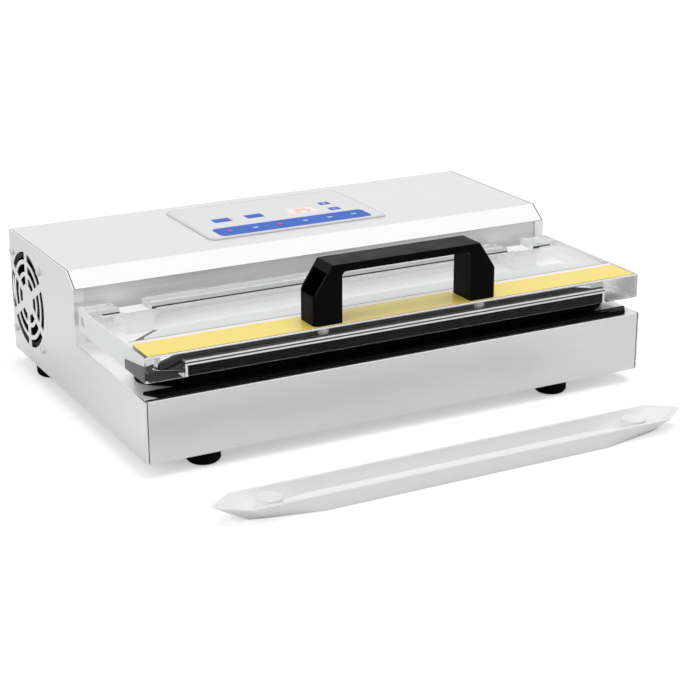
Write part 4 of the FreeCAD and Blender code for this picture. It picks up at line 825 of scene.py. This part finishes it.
def add_border(node, name, ink):
    """Thin printed line just inside the edge of a plate."""
    low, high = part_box(node)
    work = bmesh.new()
    rings = []
    for inset in (BORDER_INSET, BORDER_INSET + BORDER_WIDTH):
        points = cut_rectangle(low, high, inset)
        for level in (high.z - MARK, high.z + MARK):
            rings.append([work.verts.new((x, y, level)) for x, y in points])
    outer_low, outer_high, inner_low, inner_high = rings
    around = [outer_low, outer_high, inner_high, inner_low, outer_low]
    count = len(outer_low)
    for i in range(count):
        after = (i + 1) % count
        for ring, following in zip(around, around[1:]):
            work.faces.new((ring[i], ring[after], following[after], following[i]))
    new_piece(name, work, ink, body_of[node])


pale_ink = moulded("pale_ink", *PALE_INK)
add_digits()
add_sign("plus_key", "plus_sign", True, pale_ink)
add_sign("minus_key", "minus_sign", False, pale_ink)
add_border("panel_overlay", "panel_outline", moulded("grey_ink", *GREY_INK))


# Camera at the photograph's viewing angle, for a square image

CAMERA_PLACE = Vector((-0.695, -1.345, 0.550))
CAMERA_TURN = math.radians(-28.33)
CAMERA_DIP = math.radians(19.34)
FOCAL_PIXELS = 1780
IMAGE_PIXELS = 700
SENSOR = 36.0


def set_camera():
    camera = bpy.data.objects.new("camera", bpy.data.cameras.new("camera"))
    camera.data.sensor_width = SENSOR
    camera.data.lens = FOCAL_PIXELS / IMAGE_PIXELS * SENSOR
    camera.location = CAMERA_PLACE
    camera.rotation_euler = (math.pi / 2 - CAMERA_DIP, 0, CAMERA_TURN)
    bpy.context.scene.collection.objects.link(camera)
    bpy.context.scene.camera = camera


# Floor, backdrop and lamps

FLOOR_HALF = 12.0
FLOOR_NEAR = 0.5
FLOOR_FAR = 1.6
FLOOR_LIFT = 0.42
FLOOR_SETTINGS = {
    "Base Color": grey(238), "Roughness": 0.9, "Specular IOR Level": 0.0, "Emission Color": WHITE,
}
WORLD_LEVEL = 0.47
LAMP_TARGET = Vector((0.0, -0.05, 0.07))

# Place, size and power in watts
LAMPS = {
    "overhead": (Vector((0.35, -0.1, 1.7)), 1.4, 13.5),
    "left_front": (Vector((-1.5, -0.9, 1.2)), 1.2, 9.0),
}


def floor_material():
    """White that is lifted where the camera sees it, more so far from the object."""
    material = new_material("floor", FLOOR_SETTINGS)
    tree = material.node_tree
    path = tree.nodes.new("ShaderNodeLightPath")
    place = tree.nodes.new("ShaderNodeTexCoord")
    reach = tree.nodes.new("ShaderNodeVectorMath")
    reach.operation = "LENGTH"
    tree.links.new(place.outputs["Object"], reach.inputs[0])
    lift = rescale(material, reach.outputs["Value"], FLOOR_LIFT, 1.0, FLOOR_NEAR, FLOOR_FAR)
    strength = combine(tree, "MULTIPLY", lift, path.outputs["Is Camera Ray"])
    link(material, strength, "Emission Strength")
    return material


def add_floor():
    """Wide flat floor that keeps its shadows."""
    work = bmesh.new()
    bmesh.ops.create_grid(work, x_segments=1, y_segments=1, size=FLOOR_HALF)
    mesh = bpy.data.meshes.new("floor")
    work.to_mesh(mesh)
    work.free()
    mesh.materials.append(floor_material())
    floor = bpy.data.objects.new("floor", mesh)
    bpy.context.scene.collection.objects.link(floor)


def set_world():
    """White to the camera, to metal and to glass; a plain level of light to the rest."""
    world = bpy.data.worlds.new("studio")
    world.use_nodes = True
    bpy.context.scene.world = world
    tree = world.node_tree
    path = tree.nodes.new("ShaderNodeLightPath")
    seen = path.outputs["Is Camera Ray"]
    for output in ("Is Glossy Ray", "Is Transmission Ray"):
        seen = combine(tree, "MAXIMUM", seen, path.outputs[output])
    level = tree.nodes.new("ShaderNodeMapRange")
    level.inputs["To Min"].default_value = WORLD_LEVEL
    level.inputs["To Max"].default_value = 1.0
    tree.links.new(seen, level.inputs["Value"])
    background = tree.nodes["Background"]
    background.inputs["Color"].default_value = WHITE
    tree.links.new(level.outputs["Result"], background.inputs["Strength"])


def add_lamp(name, place, size, power):
    """Square lamp that metal doesn't mirror."""
    data = bpy.data.lights.new(name, "AREA")
    data.shape = "SQUARE"
    data.size = size
    data.energy = power
    lamp = bpy.data.objects.new(name, data)
    lamp.location = place
    lamp.rotation_euler = (LAMP_TARGET - place).to_track_quat("-Z", "Y").to_euler()
    lamp.visible_glossy = False
    bpy.context.scene.collection.objects.link(lamp)


set_camera()
add_floor()
set_world()
for lamp_name, lamp in LAMPS.items():
    add_lamp(lamp_name, *lamp)
bpy.context.scene.view_settings.view_transform = "Standard"
